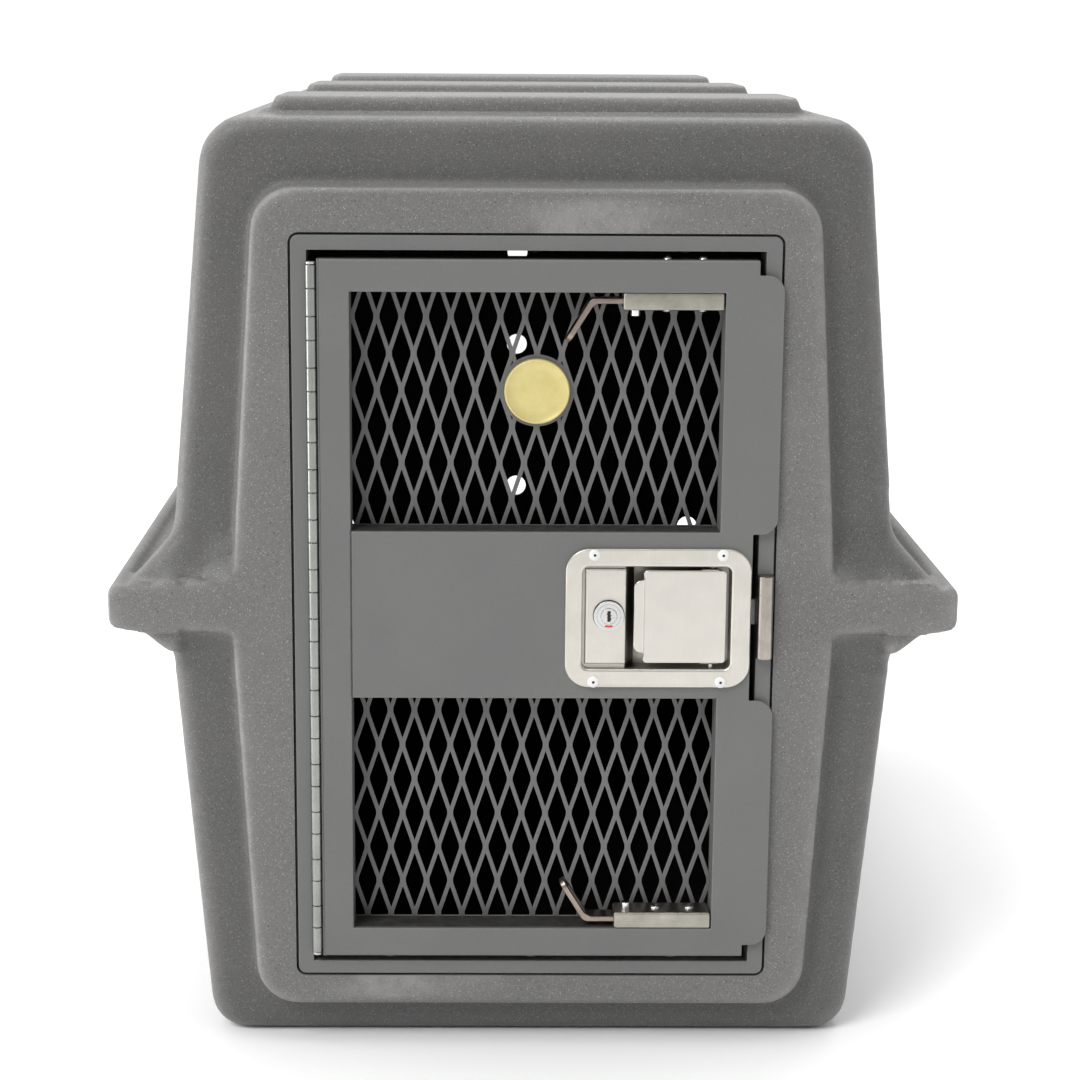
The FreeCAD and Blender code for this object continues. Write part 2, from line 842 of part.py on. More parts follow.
def hinge_leaf(name, near, far, first_z, length):
    """One leaf: a plate beside the axis, with its knuckles in a row along the pin."""
    leaf = new_body(name)
    total = "pair_pitch * pair_count"
    pad(leaf, "XY", "hinge_low", f"hinge_low + {total} - knuckle_gap",
        rectangle(near, "hinge_y + leaf_relief", far, "leaf_rear_y"))
    DOC.recompute()
    rows = [
        pad_disc(leaf, "XY", first_z, f"{first_z} + {length}", ("hinge_x", "hinge_y"), "barrel_r"),
        pad(leaf, "XY", first_z, f"{first_z} + {length}",
            rectangle(near, "hinge_y", far, "hinge_y + leaf_relief + 1")),
    ]
    DOC.recompute()
    pattern = leaf.newObject("PartDesign::LinearPattern", f"{name}_row")
    pattern.Originals = rows
    direction = next(f for f in leaf.Origin.OriginFeatures if f.Role == "Z_Axis")
    pattern.Direction = (direction, [""])
    pattern.setExpression("Length", bound("pair_pitch * pair_count - pair_pitch"))
    pattern.setExpression("Occurrences", bound("pair_count"))
    leaf.Tip = pattern
    DOC.recompute()
    pocket(leaf, "XY", "hinge_low - 5", f"hinge_low + {total} + 5",
           discs=[(("hinge_x", "hinge_y"), "pin_bore")])
    return leaf


def hinge():
    frame_leaf = hinge_leaf("frame_leaf_form", "hinge_x - frame_leaf_set - leaf",
                            "hinge_x - frame_leaf_set", "hinge_low", "frame_knuckle")
    holes = rivet_rods("frame_leaf_bore", "hinge_low + 9.5", "hinge_x - 8", "10", "leaf_rivet_r")
    piece("frame_hinge_leaf", cut("frame_leaf_cut", frame_leaf, holes))
    door_first = "hinge_low + frame_knuckle + knuckle_gap"
    door_leaf = hinge_leaf("door_leaf_form", "hinge_x + door_leaf_set",
                           "hinge_x + door_leaf_set + leaf", door_first, "door_knuckle")
    holes = rivet_rods("door_leaf_bore", "hinge_low + 47.6", "hinge_x - 1", "10", "leaf_rivet_r")
    piece("door_hinge_leaf", cut("door_leaf_cut", door_leaf, holes))
    pin = [
        rod("pin_shaft", "z", ("hinge_x", "hinge_y", "hinge_low - 1"),
            "pair_pitch * pair_count + 2", "pin_r"),
        rod("pin_foot", "z", ("hinge_x", "hinge_y", "hinge_low - 2.2"), "1.9", "pin_head"),
        rod("pin_crown", "z", ("hinge_x", "hinge_y", "hinge_low + pair_pitch * pair_count + 0.1"),
            "1.9", "pin_head"),
    ]
    piece("hinge_pin", fuse("pin_body", pin))


def leaf_rivets():
    right = TURNS["x"]
    left = TURNS["x"].inverted()
    frame_shanks = rivet_rods("frame_rivet_shank", "hinge_low + 9.5",
                              "-jamb_half - sheet", "sheet + leaf", "leaf_rivet_r")
    door_shanks = rivet_rods("door_rivet_shank", "hinge_low + 47.6",
                             "hinge_x + door_leaf_set", "leaf + sheet", "leaf_rivet_r")
    rows = (
        ("frame_leaf_rivets", frame_shanks, "hinge_low + 9.5", right, "-jamb_half + leaf",
         left, "-jamb_half - sheet"),
        ("door_leaf_rivets", door_shanks, "hinge_low + 47.6", left, "hinge_x + door_leaf_set",
         right, "door_left + sheet"),
    )
    for node, shanks, first, head_turn, head_x, tail_turn, tail_x in rows:
        rivets = []
        for index, shank in enumerate(shanks):
            height = f"{first} + leaf_rivet_pitch * {index}"
            head = dome(f"{node}_head_{index}", head_turn, (head_x, "leaf_rivet_y", height),
                        "leaf_rivet_head_r", "leaf_rivet_head")
            tail = dome(f"{node}_tail_{index}", tail_turn, (tail_x, "leaf_rivet_y", height),
                        "leaf_rivet_r + 0.8", "leaf_rivet_head")
            rivets.append(fuse(f"{node}_{index}", [shank, head, tail]))
        piece(node, group(f"{node}_group", rivets))


def strike_rivet_levels():
    return [f"latch_z + 1 + {side} * strike_rivet_rise" for side in (-1, 1)]


def strike_plate():
    """A half-round clip riveted on the edge of the frame, where the latch meets it."""
    clip = new_body("strike_form")
    pad(clip, "XY", "strike_low", "strike_high",
        rectangle("strike_x - strike_r", "front_y - strike_proud", "strike_x + strike_r", "front_y"))
    round_edges(clip, "strike_r - 0.5", both(along("z"), within("y", "front_y - strike_proud - 1",
                                                               "front_y - strike_proud + 1")))
    pocket(clip, "XY", "strike_low + 2", "strike_high - 2",
           [rectangle("strike_x - strike_r + strike_sheet", "front_y - strike_proud + 6",
                      "strike_x + strike_r - strike_sheet", "front_y - 2")])
    holes = [
        rod(f"strike_bore_{index}", "y", ("strike_x", "front_y - 5", level), "12", "rivet_r")
        for index, level in enumerate(strike_rivet_levels())
    ]
    piece("strike_plate", cut("strike_cut", clip, holes))
    rivets = []
    for index, level in enumerate(strike_rivet_levels()):
        rivets.append(fuse(f"strike_rivet_{index}", [
            rod(f"strike_shank_{index}", "y", ("strike_x", "front_y - 2", level), "2 + flange", "rivet_r"),
            rod(f"strike_head_{index}", "y", ("strike_x", "front_y - 3.2", level), "1.2", "rivet_r + 1"),
        ]))
    piece("strike_rivets", group("strike_rivet_group", rivets))


# ---- the door ----

def door_skin():
    door = new_body("door_form")
    front = "door_front_y"
    back = "door_front_y + door_depth"
    outline = [
        ("door_left", "door_low"), ("door_right", "door_low"),
        ("door_right", "flap_low_start"), ("flap_right", "flap_low_start"),
        ("flap_right", "flap_low_end"), ("door_right", "flap_low_end"),
        ("door_right", "flap_high_start"), ("flap_right", "flap_high_start"),
        ("flap_right", "flap_high_end"), ("door_right", "flap_high_end"),
        ("door_right", "door_high"), ("door_left", "door_high"),
    ]
    pad(door, "XZ", front, f"{front} + sheet", outline)
    DOC.recompute()
    flap = both(along("y"), lambda edge: edge.CenterOfMass.x > number("flap_right") - 0.1)
    round_edges(door, "flap_round", flap)
    pad(door, "XZ", f"{front} + sheet", back,
        rectangle("door_left", "door_low", "door_right", "door_high"))
    round_edges(door, "door_bend", both(along("z"), both(flat_at("y", front),
                lambda edge: edge.CenterOfMass.x < number("door_left") + 1)))
    windows = [
        rectangle("window_left", "window_low_start", "window_right", "window_low_end"),
        rectangle("window_left", "window_high_start", "window_right", "window_high_end"),
    ]
    pocket(door, "XZ", front, back, windows)
    thick = "sheet"
    cells = [
        (f"door_left + {thick}", f"door_low + {thick}", f"window_left - {thick}", f"door_high - {thick}"),
        (f"window_right + {thick}", f"door_low + {thick}", f"door_right - {thick}", f"door_high - {thick}"),
        (f"window_left - {thick}", f"door_low + {thick}", f"window_right + {thick}",
         f"window_low_start - {thick}"),
        (f"window_left - {thick}", f"window_low_end + {thick}", f"window_right + {thick}",
         f"window_high_start - {thick}"),
        (f"window_left - {thick}", f"window_high_end + {thick}", f"window_right + {thick}",
         f"door_high - {thick}"),
    ]
    tools = [
        box(f"door_cell_{index}", (left, f"{front} + sheet", low), (right, f"{back} + 1", high))
        for index, (left, low, right, high) in enumerate(cells)
    ]
    mesh_room = [
        box(f"mesh_room_{index}", (f"window_left - {thick} - 0.1", "mesh_y", f"{low} - {thick} - 0.1"),
            (f"window_right + {thick} + 0.1", f"{back} + 1", f"{high} + {thick} + 0.1"))
        for index, (low, high) in enumerate((("window_low_start", "window_low_end"),
                                             ("window_high_start", "window_high_end")))
    ]
    tools += mesh_room
    around = "dish_wall + dish_clear"
    tools.append(box("latch_cutout",
                     (f"dish_left - ({around})", f"{front} - 1", f"dish_low - ({around})"),
                     (f"dish_right + {around}", f"{front} + sheet + 1", f"dish_high + {around}")))
    tools.append(box("bolt_slot", ("door_right - 5", "bolt_y - 1", "latch_z - bolt_half - 1"),
                     ("door_right + 5", "bolt_y + bolt_sheet + 1", "latch_z + bolt_half + 1")))
    tools.append(box("seam_groove", ("window_left - 0.3", f"{front} - 1", "window_low_end"),
                     ("window_left + 0.3", f"{front} + seam", "window_high_start")))
    tools += rivet_rods("door_rivet_hole", "hinge_low + 47.6", "hinge_x - 1", "10", "leaf_rivet_r")
    tools += [
        rod(f"latch_rivet_hole_{index}", "y", (x, f"{front} - 1", z), "6", "rivet_r")
        for index, (x, z) in enumerate(latch_rivet_spots())
    ]
    for level in ("low", "high"):
        low, high = slide_levels(level)
        tools.append(box(f"slide_slot_{level}",
                         ("window_right - 2", "bolt_front_y - 0.6", f"{low} + bar_inset - 0.8"),
                         ("door_right + 3", "bar_back_y + 0.6", f"{high} - bar_inset + 0.8")))
        tools += slide_screw_rods(f"slide_hole_{level}", level, "slide_screw_r")
    piece("door_skin", cut("door_cut", door, tools))


def latch_rivet_spots():
    return [
        (f"latch_x {a} latch_rivet_x", f"latch_z {b} latch_rivet_z") for a in "-+" for b in "-+"
    ]


def mesh(node, low, high, has_pad=False):
    """A flattened expanded-metal panel: a plate with rows of lozenge holes, in step with the badge."""
    edge = DIMS["mesh_edge"]
    left, right = DIMS["window_left"] - edge, DIMS["window_right"] + edge
    bottom, top = DIMS[low] - edge, DIMS[high] + edge
    y, thick = DIMS["mesh_y"], DIMS["mesh_sheet"]
    half, row = DIMS["mesh_pitch"] / 2, DIMS["mesh_row"]
    lean = half / row
    strand = DIMS["mesh_strand"] / math.cos(math.atan(lean))
    tip = row - strand / 2 / lean
    wide = half - DIMS["mesh_node_flat"]
    flat = tip - wide / lean
    lozenge = [(0, -tip), (wide, -flat), (wide, flat), (0, tip), (-wide, flat), (-wide, -flat)]
    clip = Part.makeBox(right - left - 2 * edge, 3 * thick, top - bottom - 2 * edge,
                        FreeCAD.Vector(left + edge, y - thick, bottom + edge))
    centre_x, centre_z = DIMS["badge_x"], DIMS["badge_z"]
    columns = range(math.floor((left - centre_x) / half), math.ceil((right - centre_x) / half) + 1)
    rows = range(math.floor((bottom - centre_z) / row), math.ceil((top - centre_z) / row) + 1)
    holes = []
    for i, j in ((i, j) for j in rows for i in columns if (i + j) % 2 == 0):
        x, z = centre_x + i * half, centre_z + j * row
        corners = [FreeCAD.Vector(x + a, y - thick, z + b) for a, b in lozenge]
        face = Part.Face(Part.makePolygon(corners + corners[:1]))
        holes.append(face.extrude(FreeCAD.Vector(0, 3 * thick, 0)))
    tools = Part.makeCompound(holes).common(clip)
    if has_pad:
        start, along_y = FreeCAD.Vector(centre_x, y - 2 * thick, centre_z), FreeCAD.Vector(0, 1, 0)
        disc = Part.makeCylinder(DIMS["mesh_pad_r"], 4 * thick, start, along_y)
        bore = Part.makeCylinder(DIMS["badge_bore"], 4 * thick, start, along_y)
        tools = Part.makeCompound([tools.cut(disc), bore])
    plate = Part.makeBox(right - left, thick, top - bottom, FreeCAD.Vector(left, y, bottom))
    panel = DOC.addObject("Part::Feature", f"{node}_panel")
    panel.Shape = plate.cut(tools)
    piece(node, panel)


def badge():
    disc = new_body("badge_form")
    front, centre = "mesh_y - badge_depth", ("badge_x", "badge_z")
    pad_disc(disc, "XZ", front, "mesh_y", centre, "badge_r")
    round_edges(disc, "1", flat_at("y", front))
    pocket(disc, "XZ", front, f"{front} + badge_dish", discs=[(centre, "badge_r - badge_rim")])
    pocket(disc, "XZ", "mesh_y - badge_thread", "mesh_y", discs=[(centre, "badge_bore")])
    piece("badge_disc", disc)
    backward = FreeCAD.Rotation(FreeCAD.Vector(1, 0, 0), -90)
    screw = [
        rod("badge_shank", "y", ("badge_x", "mesh_y - badge_thread", "badge_z"),
            "badge_thread + mesh_sheet", "badge_bore - 0.05"),
        dome("badge_head", backward, ("badge_x", "mesh_y + mesh_sheet", "badge_z"),
             "badge_head_r", "2.4"),
    ]
    piece("badge_screw", fuse("badge_screw_body", screw))


# ---- paddle latch ----

def latch_housing():
    plate = new_body("latch_plate_form")
    left, right = "latch_x - latch_width / 2", "latch_x + latch_width / 2"
    low, high = "latch_z - latch_height / 2", "latch_z + latch_height / 2"
    pad(plate, "XZ", "latch_front_y", "door_front_y", rectangle(left, low, right, high))
    round_edges(plate, "latch_round", along("y"))
    round_edges(plate, "latch_edge", flat_at("y", "latch_front_y"))
    dish = rectangle("dish_left - dish_wall", "dish_low - dish_wall",
                     "dish_right + dish_wall", "dish_high + dish_wall")
    pad(plate, "XZ", "door_front_y", "dish_floor_y + dish_wall", dish)
    pocket(plate, "XZ", "latch_front_y", "dish_floor_y",
           [rectangle("dish_left", "dish_low", "dish_right", "dish_high")])
    inside_dish = both(within("x", "dish_left", "dish_right"), within("z", "dish_low", "dish_high"))
    round_edges(plate, "dish_corner", both(along("y"), inside_dish))
    round_edges(plate, "dish_edge", both(flat_at("y", "latch_front_y"), inside_dish))
    pad(plate, "XY", "dish_low - dish_wall / 2", "dish_high + dish_wall / 2", [
        ("dish_left - dish_wall / 2", "dish_floor_y"), ("dish_left - dish_wall / 2", "ledge_y"),
        ("pad_right", "ledge_y"), ("pad_right + pad_slope", "dish_floor_y"),
    ])
    pad(plate, "XY", "pad_low", "pad_high", [
        ("pad_left", "dish_floor_y"), ("pad_left", "pad_front_y"),
        ("pad_right", "pad_front_y"), ("pad_right + pad_slope", "dish_floor_y"),
    ])
    DOC.recompute()
    round_edges(plate, "pad_edge", both(flat_at("y", "pad_front_y"),
                                        within("x", "pad_left - 1", "pad_right + 1")))
    tools = [
        rod("lock_bore", "y", ("lock_x", "latch_front_y - 3", "lock_z"), "30", "lock_r"),
        box("tail_slot", ("pivot_x - 16", "dish_floor_y - 1", "latch_z - tail_height / 2 - 1"),
            ("pivot_x + 5", "dish_floor_y + dish_wall + 1", "latch_z + tail_height / 2 + 1")),
        rod("pivot_bore_cut", "z", ("pivot_x", "pivot_y", "dish_low - dish_wall - 1"),
            "dish_high - dish_low + 2 * dish_wall + 2", "pivot_bore"),
    ]
    tools += [
        rod(f"latch_plate_hole_{index}", "y", (x, "latch_front_y - 1", z), "9", "rivet_r")
        for index, (x, z) in enumerate(latch_rivet_spots())
    ]
    piece("latch_housing", cut("latch_housing_cut", plate, tools))
    forward = FreeCAD.Rotation(FreeCAD.Vector(1, 0, 0), 90)
    rivets = []
    for index, (x, z) in enumerate(latch_rivet_spots()):
        name, front = f"latch_rivet_{index}", (x, "latch_front_y", z)
        rivets.append(fuse(name, [
            dome(f"{name}_head", forward, front, "rivet_head_r", "rivet_head"),
            rod(f"{name}_shank", "y", front, "latch_plate + sheet", "rivet_r"),
            rod(f"{name}_tail", "y", (x, "door_front_y + sheet", z), "1.8", "rivet_r + 1.2"),
        ]))
    piece("latch_rivets", group("latch_rivet_group", rivets))


def lock_cylinder():
    barrel = fuse("lock_barrel_body", [
        rod("lock_tube", "y", ("lock_x", "pad_front_y", "lock_z"), "22", "lock_r"),
        rod("lock_rim", "y", ("lock_x", "pad_front_y - lock_flange", "lock_z"), "lock_flange",
            "lock_flange_r"),
    ])
    bore = rod("plug_way", "y", ("lock_x", "latch_front_y - 5", "lock_z"), "40", "plug_bore")
    piece("lock_barrel", cut("lock_barrel_cut", barrel, [bore]))
    nut = rod("lock_nut_body", "y", ("lock_x", "dish_floor_y + dish_wall", "lock_z"), "2.5", "lock_r + 3")
    hole = rod("lock_nut_bore", "y", ("lock_x", "dish_floor_y", "lock_z"), "6", "lock_r")
    piece("lock_nut", cut("lock_nut_cut", nut, [hole]))
    front = "pad_front_y - lock_flange - 0.4"
    plug = rod("plug_body", "y", ("lock_x", front, "lock_z"), "23.4 + lock_flange", "plug_r")
    keyway = box("keyway", ("lock_x - key_width / 2", f"{front} - 1", "lock_z - key_height / 2"),
                 ("lock_x + key_width / 2", f"{front} + 9", "lock_z + key_height / 2"))
    piece("lock_plug", cut("plug_cut", plug, [keyway]))
    rear = "pad_front_y + 23"
    cam = box("cam_arm", ("lock_x - 5", rear, "lock_z - cam_reach"),
              ("lock_x + 5", f"{rear} + cam_sheet", "lock_z"))
    hub = rod("cam_hub", "y", ("lock_x", rear, "lock_z"), "cam_sheet", "plug_r + 1.5")
    piece("lock_cam", fuse("cam_body", [cam, hub]))


def paddle():
    form = new_body("paddle_form")
    front = "paddle_y"
    pad(form, "XZ", front, f"{front} + paddle_sheet",
        rectangle("paddle_left", "paddle_low", "paddle_right", "paddle_high"))
    round_edges(form, "3", along("y"))
    round_edges(form, "1.2", flat_at("y", front))
    tab = new_body("paddle_tab_form")
    pad(tab, "XZ", f"{front} + 0.5", f"{front} + paddle_sheet",
        rectangle("tab_left", "tab_low", "paddle_left + 6", "tab_high"))
    round_edges(tab, "5.5", both(along("y"), within("x", "tab_left - 1", "tab_left + 1")))
    ears = [
        box(f"paddle_ear_{name}", ("pivot_x - 8", f"{front} + 1", low), ("pivot_x + 4", "ear_rear_y", high))
        for name, low, high in (("low", "paddle_low", "paddle_low + paddle_sheet"),
                                ("high", "paddle_high - paddle_sheet", "paddle_high"))
    ]
    hub = rod("paddle_hub", "z", ("pivot_x", "pivot_y", "latch_z - tail_height / 2"), "tail_height", "4")
    tail = box("paddle_tail", ("pivot_x - tail_half", f"{front} + 1", "latch_z - tail_height / 2"),
               ("pivot_x + tail_half", "tail_end_y", "latch_z + tail_height / 2"))
    bore = rod("paddle_bore", "z", ("pivot_x", "pivot_y", "paddle_low - 2"),
               "paddle_high - paddle_low + 4", "pivot_bore + 0.03")
    body = fuse("paddle_body", [form, tab, *ears, hub, tail])
    piece("paddle", cut("paddle_cut", body, [bore]))
    pin = rod("paddle_pin_body", "z", ("pivot_x", "pivot_y", "dish_low - dish_wall"),
              "dish_high - dish_low + 2 * dish_wall", "pivot_r")
    piece("paddle_pin", pin)


def coil(name, axis_start, turn, radius, wire, length, turns):
    """A round-wire helical spring."""
    helix = Part.makeHelix(length / turns, length, radius)
    ring = Part.Wire([Part.makeCircle(wire, FreeCAD.Vector(radius, 0, 0), FreeCAD.Vector(0, 1, 0))])
    spring = DOC.addObject("Part::Feature", name)
    spring.Shape = Part.Wire(helix.Edges).makePipeShell([ring], True, True)
    spring.Placement = FreeCAD.Placement(FreeCAD.Vector(*axis_start), turn)
    return spring


def springs():
    start = (DIMS["pivot_x"], DIMS["pivot_y"], DIMS["latch_z"] + DIMS["tail_height"] / 2 + 1.2)
    piece("paddle_spring", coil("paddle_spring_coil", start, TURNS["z"], DIMS["torsion_r"],
                                DIMS["spring_wire"], 14.0, DIMS["spring_turns"]))
    along_x = (DIMS["bolt_left"] - 20.5, DIMS["bolt_y"] + DIMS["bolt_sheet"] / 2, DIMS["latch_z"])
    piece("bolt_spring", coil("bolt_spring_coil", along_x, TURNS["x"], DIMS["spring_r"],
                              DIMS["spring_wire"], 19.5, DIMS["spring_turns"]))


def latch_bolt():
    bolt = new_body("bolt_form")
    low, high = "latch_z - bolt_half", "latch_z + bolt_half"
    pad(bolt, "XZ", "bolt_y", "bolt_y + bolt_sheet", rectangle("bolt_left", low, "bolt_tip", high))
    window = "pivot_x - tail_half - bolt_window"
    pocket(bolt, "XZ", "bolt_y", "bolt_y + bolt_sheet",
           [rectangle(window, "latch_z - tail_height / 2 - 0.5",
                      "pivot_x + tail_half + bolt_window", "latch_z + tail_height / 2 + 0.5")])
    round_edges(bolt, "3.5", both(along("z"), both(flat_at("y", "bolt_y + bolt_sheet"),
                within("x", "bolt_tip - 1", "bolt_tip + 1"))))
    piece("latch_bolt", bolt)


def latch_bracket():
    """A folded guide on the back of the dish that the bolt runs in, with a spring stop."""
    rear = "bolt_y + bolt_sheet + 0.5"
    front = "dish_floor_y + dish_wall"
    half = "bracket_half"
    skin = [
        box("bracket_back", ("bolt_left - 23", rear, f"latch_z - {half}"),
            ("bracket_right", f"{rear} + 1.5", f"latch_z + {half}")),
        box("bracket_foot", ("bracket_left", front, f"latch_z - {half}"),
            ("bracket_right", rear, f"latch_z - {half} + 1.5")),
        box("bracket_head", ("bracket_left", front, f"latch_z + {half} - 1.5"),
            ("bracket_right", rear, f"latch_z + {half}")),
        box("bracket_stop", ("bolt_left - 23", "bolt_y", "latch_z - 5"),
            ("bolt_left - 21.2", rear, "latch_z + 5")),
    ]
    piece("latch_bracket", fuse("bracket_body", skin))


# ---- slide latches ----

def slide_levels(level):
    if level == "low":
        return "window_low_start", "window_low_start + slide_tall"
    return "window_high_end - slide_tall", "window_high_end"


def slide_screw_rods(name, level, radius):
    low, length = "door_low - 5", "window_low_start + slide_tall + 8 - door_low"
    if level == "high":
        low, length = "window_high_end - slide_tall - 3", "door_high - window_high_end + slide_tall + 8"
    y = "slide_front_y + slide_deep / 2"
    return [
        rod(f"{name}_{index}", "z", (x, y, low), length, radius)
        for index, x in enumerate(("slide_screw_near", "slide_screw_far"))
    ]


def slide_bar(word, level, low, high):
    """A flat bar with a bent, slotted finger lever at one end and a narrow bolt at the other."""
    lever = new_body(f"{word}_bar_form")
    drop, near, far = "+", f"{high} - bar_inset", f"{low} + bar_inset"
    if level == "high":
        drop, near, far = "-", far, near
    outline = [
        ("bar_tip", near),
        ("bar_tip", far),
        ("bar_bend_x - 2.5", far),
        ("bar_end_x", f"{far} {drop} bar_drop"),
        ("bar_end_x + 3.3", f"{far} {drop} bar_drop {drop} 2.2"),
        ("bar_bend_x", near),
    ]
    pad(lever, "XZ", "bar_front_y", "bar_back_y", outline)
    DOC.recompute()
    across = lambda edge: not along("y")(edge) and edge.BoundBox.YLength < 0.01
    end = both(within("x", "bar_end_x", "bar_end_x + 3.3"), across)
    round_edges(lever, "6.5", end)
    middle = "slide_front_y + slide_deep / 2"
    pocket(lever, "XZ", f"{middle} - bar_slot", f"{middle} + bar_slot", [[
        ("bar_bend_x - 7", f"{far} {drop} 1"),
        ("bar_end_x + 3", f"{far} {drop} bar_drop {drop} -7"),
        ("bar_end_x + 12", f"{far} {drop} bar_drop {drop} -3"),
        ("bar_bend_x + 3", f"{far} {drop} 6"),
    ]])
    under, over = f"{low} - 1", f"{high} + 1"
    tools = [
        box(f"{word}_bar_step", ("bar_shoulder", "bar_front_y - 1", under),
            ("bar_tip + 1", "bolt_front_y", over)),
        box(f"{word}_stop_slot", ("stop_x - stop_shank - 0.6", f"{middle} - stop_shank - 0.4", under),
            ("stop_x + stop_shank + slide_travel + 0.6", f"{middle} + stop_shank + 0.4", over)),
        box(f"{word}_screw_slot", ("slide_screw_near - 3.2", f"{middle} - 2.8", under),
            ("slide_screw_far + slide_travel + 3.2", f"{middle} + 2.8", over)),
    ]
    piece(f"{word}_slide_bar", cut(f"{word}_bar_cut", lever, tools))


def slide_latch(level):
    low, high = slide_levels(level)
    word = "upper" if level == "high" else "lower"
    front, back = "slide_front_y", "slide_front_y + slide_deep"
    body = box(f"{word}_housing_body", ("slide_left", front, low), ("slide_right", back, high))
    clear = "slide_clear"
    way = box(f"{word}_bar_way",
              ("slide_left - 1", f"bar_front_y - {clear}", f"{low} + bar_inset - {clear}"),
              ("slide_right + 1", f"bar_back_y + {clear}", f"{high} - bar_inset + {clear}"))
    middle = f"{front} + slide_deep / 2"
    stop_hole = rod(f"{word}_stop_hole", "z", ("stop_x", middle, f"{low} - 1"), "slide_tall + 2",
                    "stop_shank")
    screw_holes = slide_screw_rods(f"{word}_screw_way", level, "slide_screw_r")
    piece(f"{word}_slide_housing",
          cut(f"{word}_housing_cut", body, [way, stop_hole, *screw_holes]))
    slide_bar(word, level, low, high)

    stop_low = f"{low} - stop_proud" if level == "high" else f"{high}"
    pin = fuse(f"{word}_stop_body", [
        rod(f"{word}_stop_head", "z", ("stop_x", middle, stop_low), "stop_proud", "stop_r"),
        rod(f"{word}_stop_shank", "z", ("stop_x", middle, low), "slide_tall", "stop_shank"),
    ])
    piece(f"{word}_stop_pin", pin)

    down = FreeCAD.Rotation(FreeCAD.Vector(1, 0, 0), 180)
    up = FreeCAD.Rotation()
    screws = []
    for index, x in enumerate(("slide_screw_near", "slide_screw_far")):
        if level == "high":
            start, length = low, "door_high - window_high_end + slide_tall"
            ends = ((up, "door_high"), (down, low))
        else:
            start, length = "door_low", "window_low_start + slide_tall - door_low"
            ends = ((down, "door_low"), (up, high))
        shank = f"{word}_screw_shank_{index}"
        parts = [rod(shank, "z", (x, middle, start), length, "slide_screw_r - 0.05")]
        for count, (turn, z) in enumerate(ends):
            parts.append(dome(f"{word}_screw_end_{index}_{count}", turn, (x, middle, z),
                              "slide_head_r", "slide_head"))
        screws.append(fuse(f"{word}_screw_{index}", parts))
    piece(f"{word}_slide_screws", group(f"{word}_slide_screw_group", screws))


def check():
    """Stops if any object failed to build or any sub-part isn't a sound solid."""
    DOC.recompute()
    for item in DOC.Objects:
        if {"Invalid", "Error"} & set(item.State):
            raise RuntimeError(f"{item.Name} ({item.Label}) failed to build: {item.State}")
    for node, item in PIECES.items():
        shape = item.Shape
        if shape.isNull() or not shape.isValid() or not shape.Solids:
            raise RuntimeError(f"{node} isn't a valid solid")


def main():
    fill_sheet()
    body_shell()
    drain_plug()
    door_frame()
    frame_screws()
    threaded_inserts()
    hinge()
    leaf_rivets()
    strike_plate()
    door_skin()
    mesh("mesh_upper", "window_high_start", "window_high_end", has_pad=True)
    mesh("mesh_lower", "window_low_start", "window_low_end")
    badge()
    latch_housing()
    lock_cylinder()
    paddle()
    springs()
    latch_bolt()
    latch_bracket()
    slide_latch("high")
    slide_latch("low")
    check()
    os.makedirs("parts", exist_ok=True)
    for node, item in PIECES.items():
        item.Shape.exportStep(f"parts/{node}.step")
        print(f"{node}: {len(item.Shape.Solids)} solids, {item.Shape.Volume / 1000:.1f} cm3")


main()
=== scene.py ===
import json
import math

import bmesh
import bpy
import numpy as np
from mathutils import Matrix, Vector

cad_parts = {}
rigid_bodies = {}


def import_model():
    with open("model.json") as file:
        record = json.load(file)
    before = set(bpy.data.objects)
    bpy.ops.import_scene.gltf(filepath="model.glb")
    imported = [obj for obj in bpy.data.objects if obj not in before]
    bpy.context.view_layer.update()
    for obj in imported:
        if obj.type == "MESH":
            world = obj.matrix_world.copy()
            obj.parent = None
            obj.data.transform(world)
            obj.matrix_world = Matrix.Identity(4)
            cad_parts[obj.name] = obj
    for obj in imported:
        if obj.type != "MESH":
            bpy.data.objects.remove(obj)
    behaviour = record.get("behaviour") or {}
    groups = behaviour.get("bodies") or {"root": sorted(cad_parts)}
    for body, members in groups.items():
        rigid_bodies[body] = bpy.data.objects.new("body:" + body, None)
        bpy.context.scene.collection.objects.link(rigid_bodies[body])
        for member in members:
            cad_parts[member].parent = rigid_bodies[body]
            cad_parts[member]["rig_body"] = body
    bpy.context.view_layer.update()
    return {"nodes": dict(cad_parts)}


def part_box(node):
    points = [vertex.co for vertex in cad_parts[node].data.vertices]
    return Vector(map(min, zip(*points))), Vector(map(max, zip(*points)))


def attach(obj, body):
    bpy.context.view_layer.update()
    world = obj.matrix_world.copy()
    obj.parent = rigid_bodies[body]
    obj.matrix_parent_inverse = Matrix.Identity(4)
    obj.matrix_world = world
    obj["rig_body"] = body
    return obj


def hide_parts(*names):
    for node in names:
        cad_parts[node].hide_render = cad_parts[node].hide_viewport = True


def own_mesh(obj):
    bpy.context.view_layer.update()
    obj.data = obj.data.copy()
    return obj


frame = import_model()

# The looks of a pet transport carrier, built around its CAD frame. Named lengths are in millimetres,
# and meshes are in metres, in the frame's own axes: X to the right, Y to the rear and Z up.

MM = 0.001

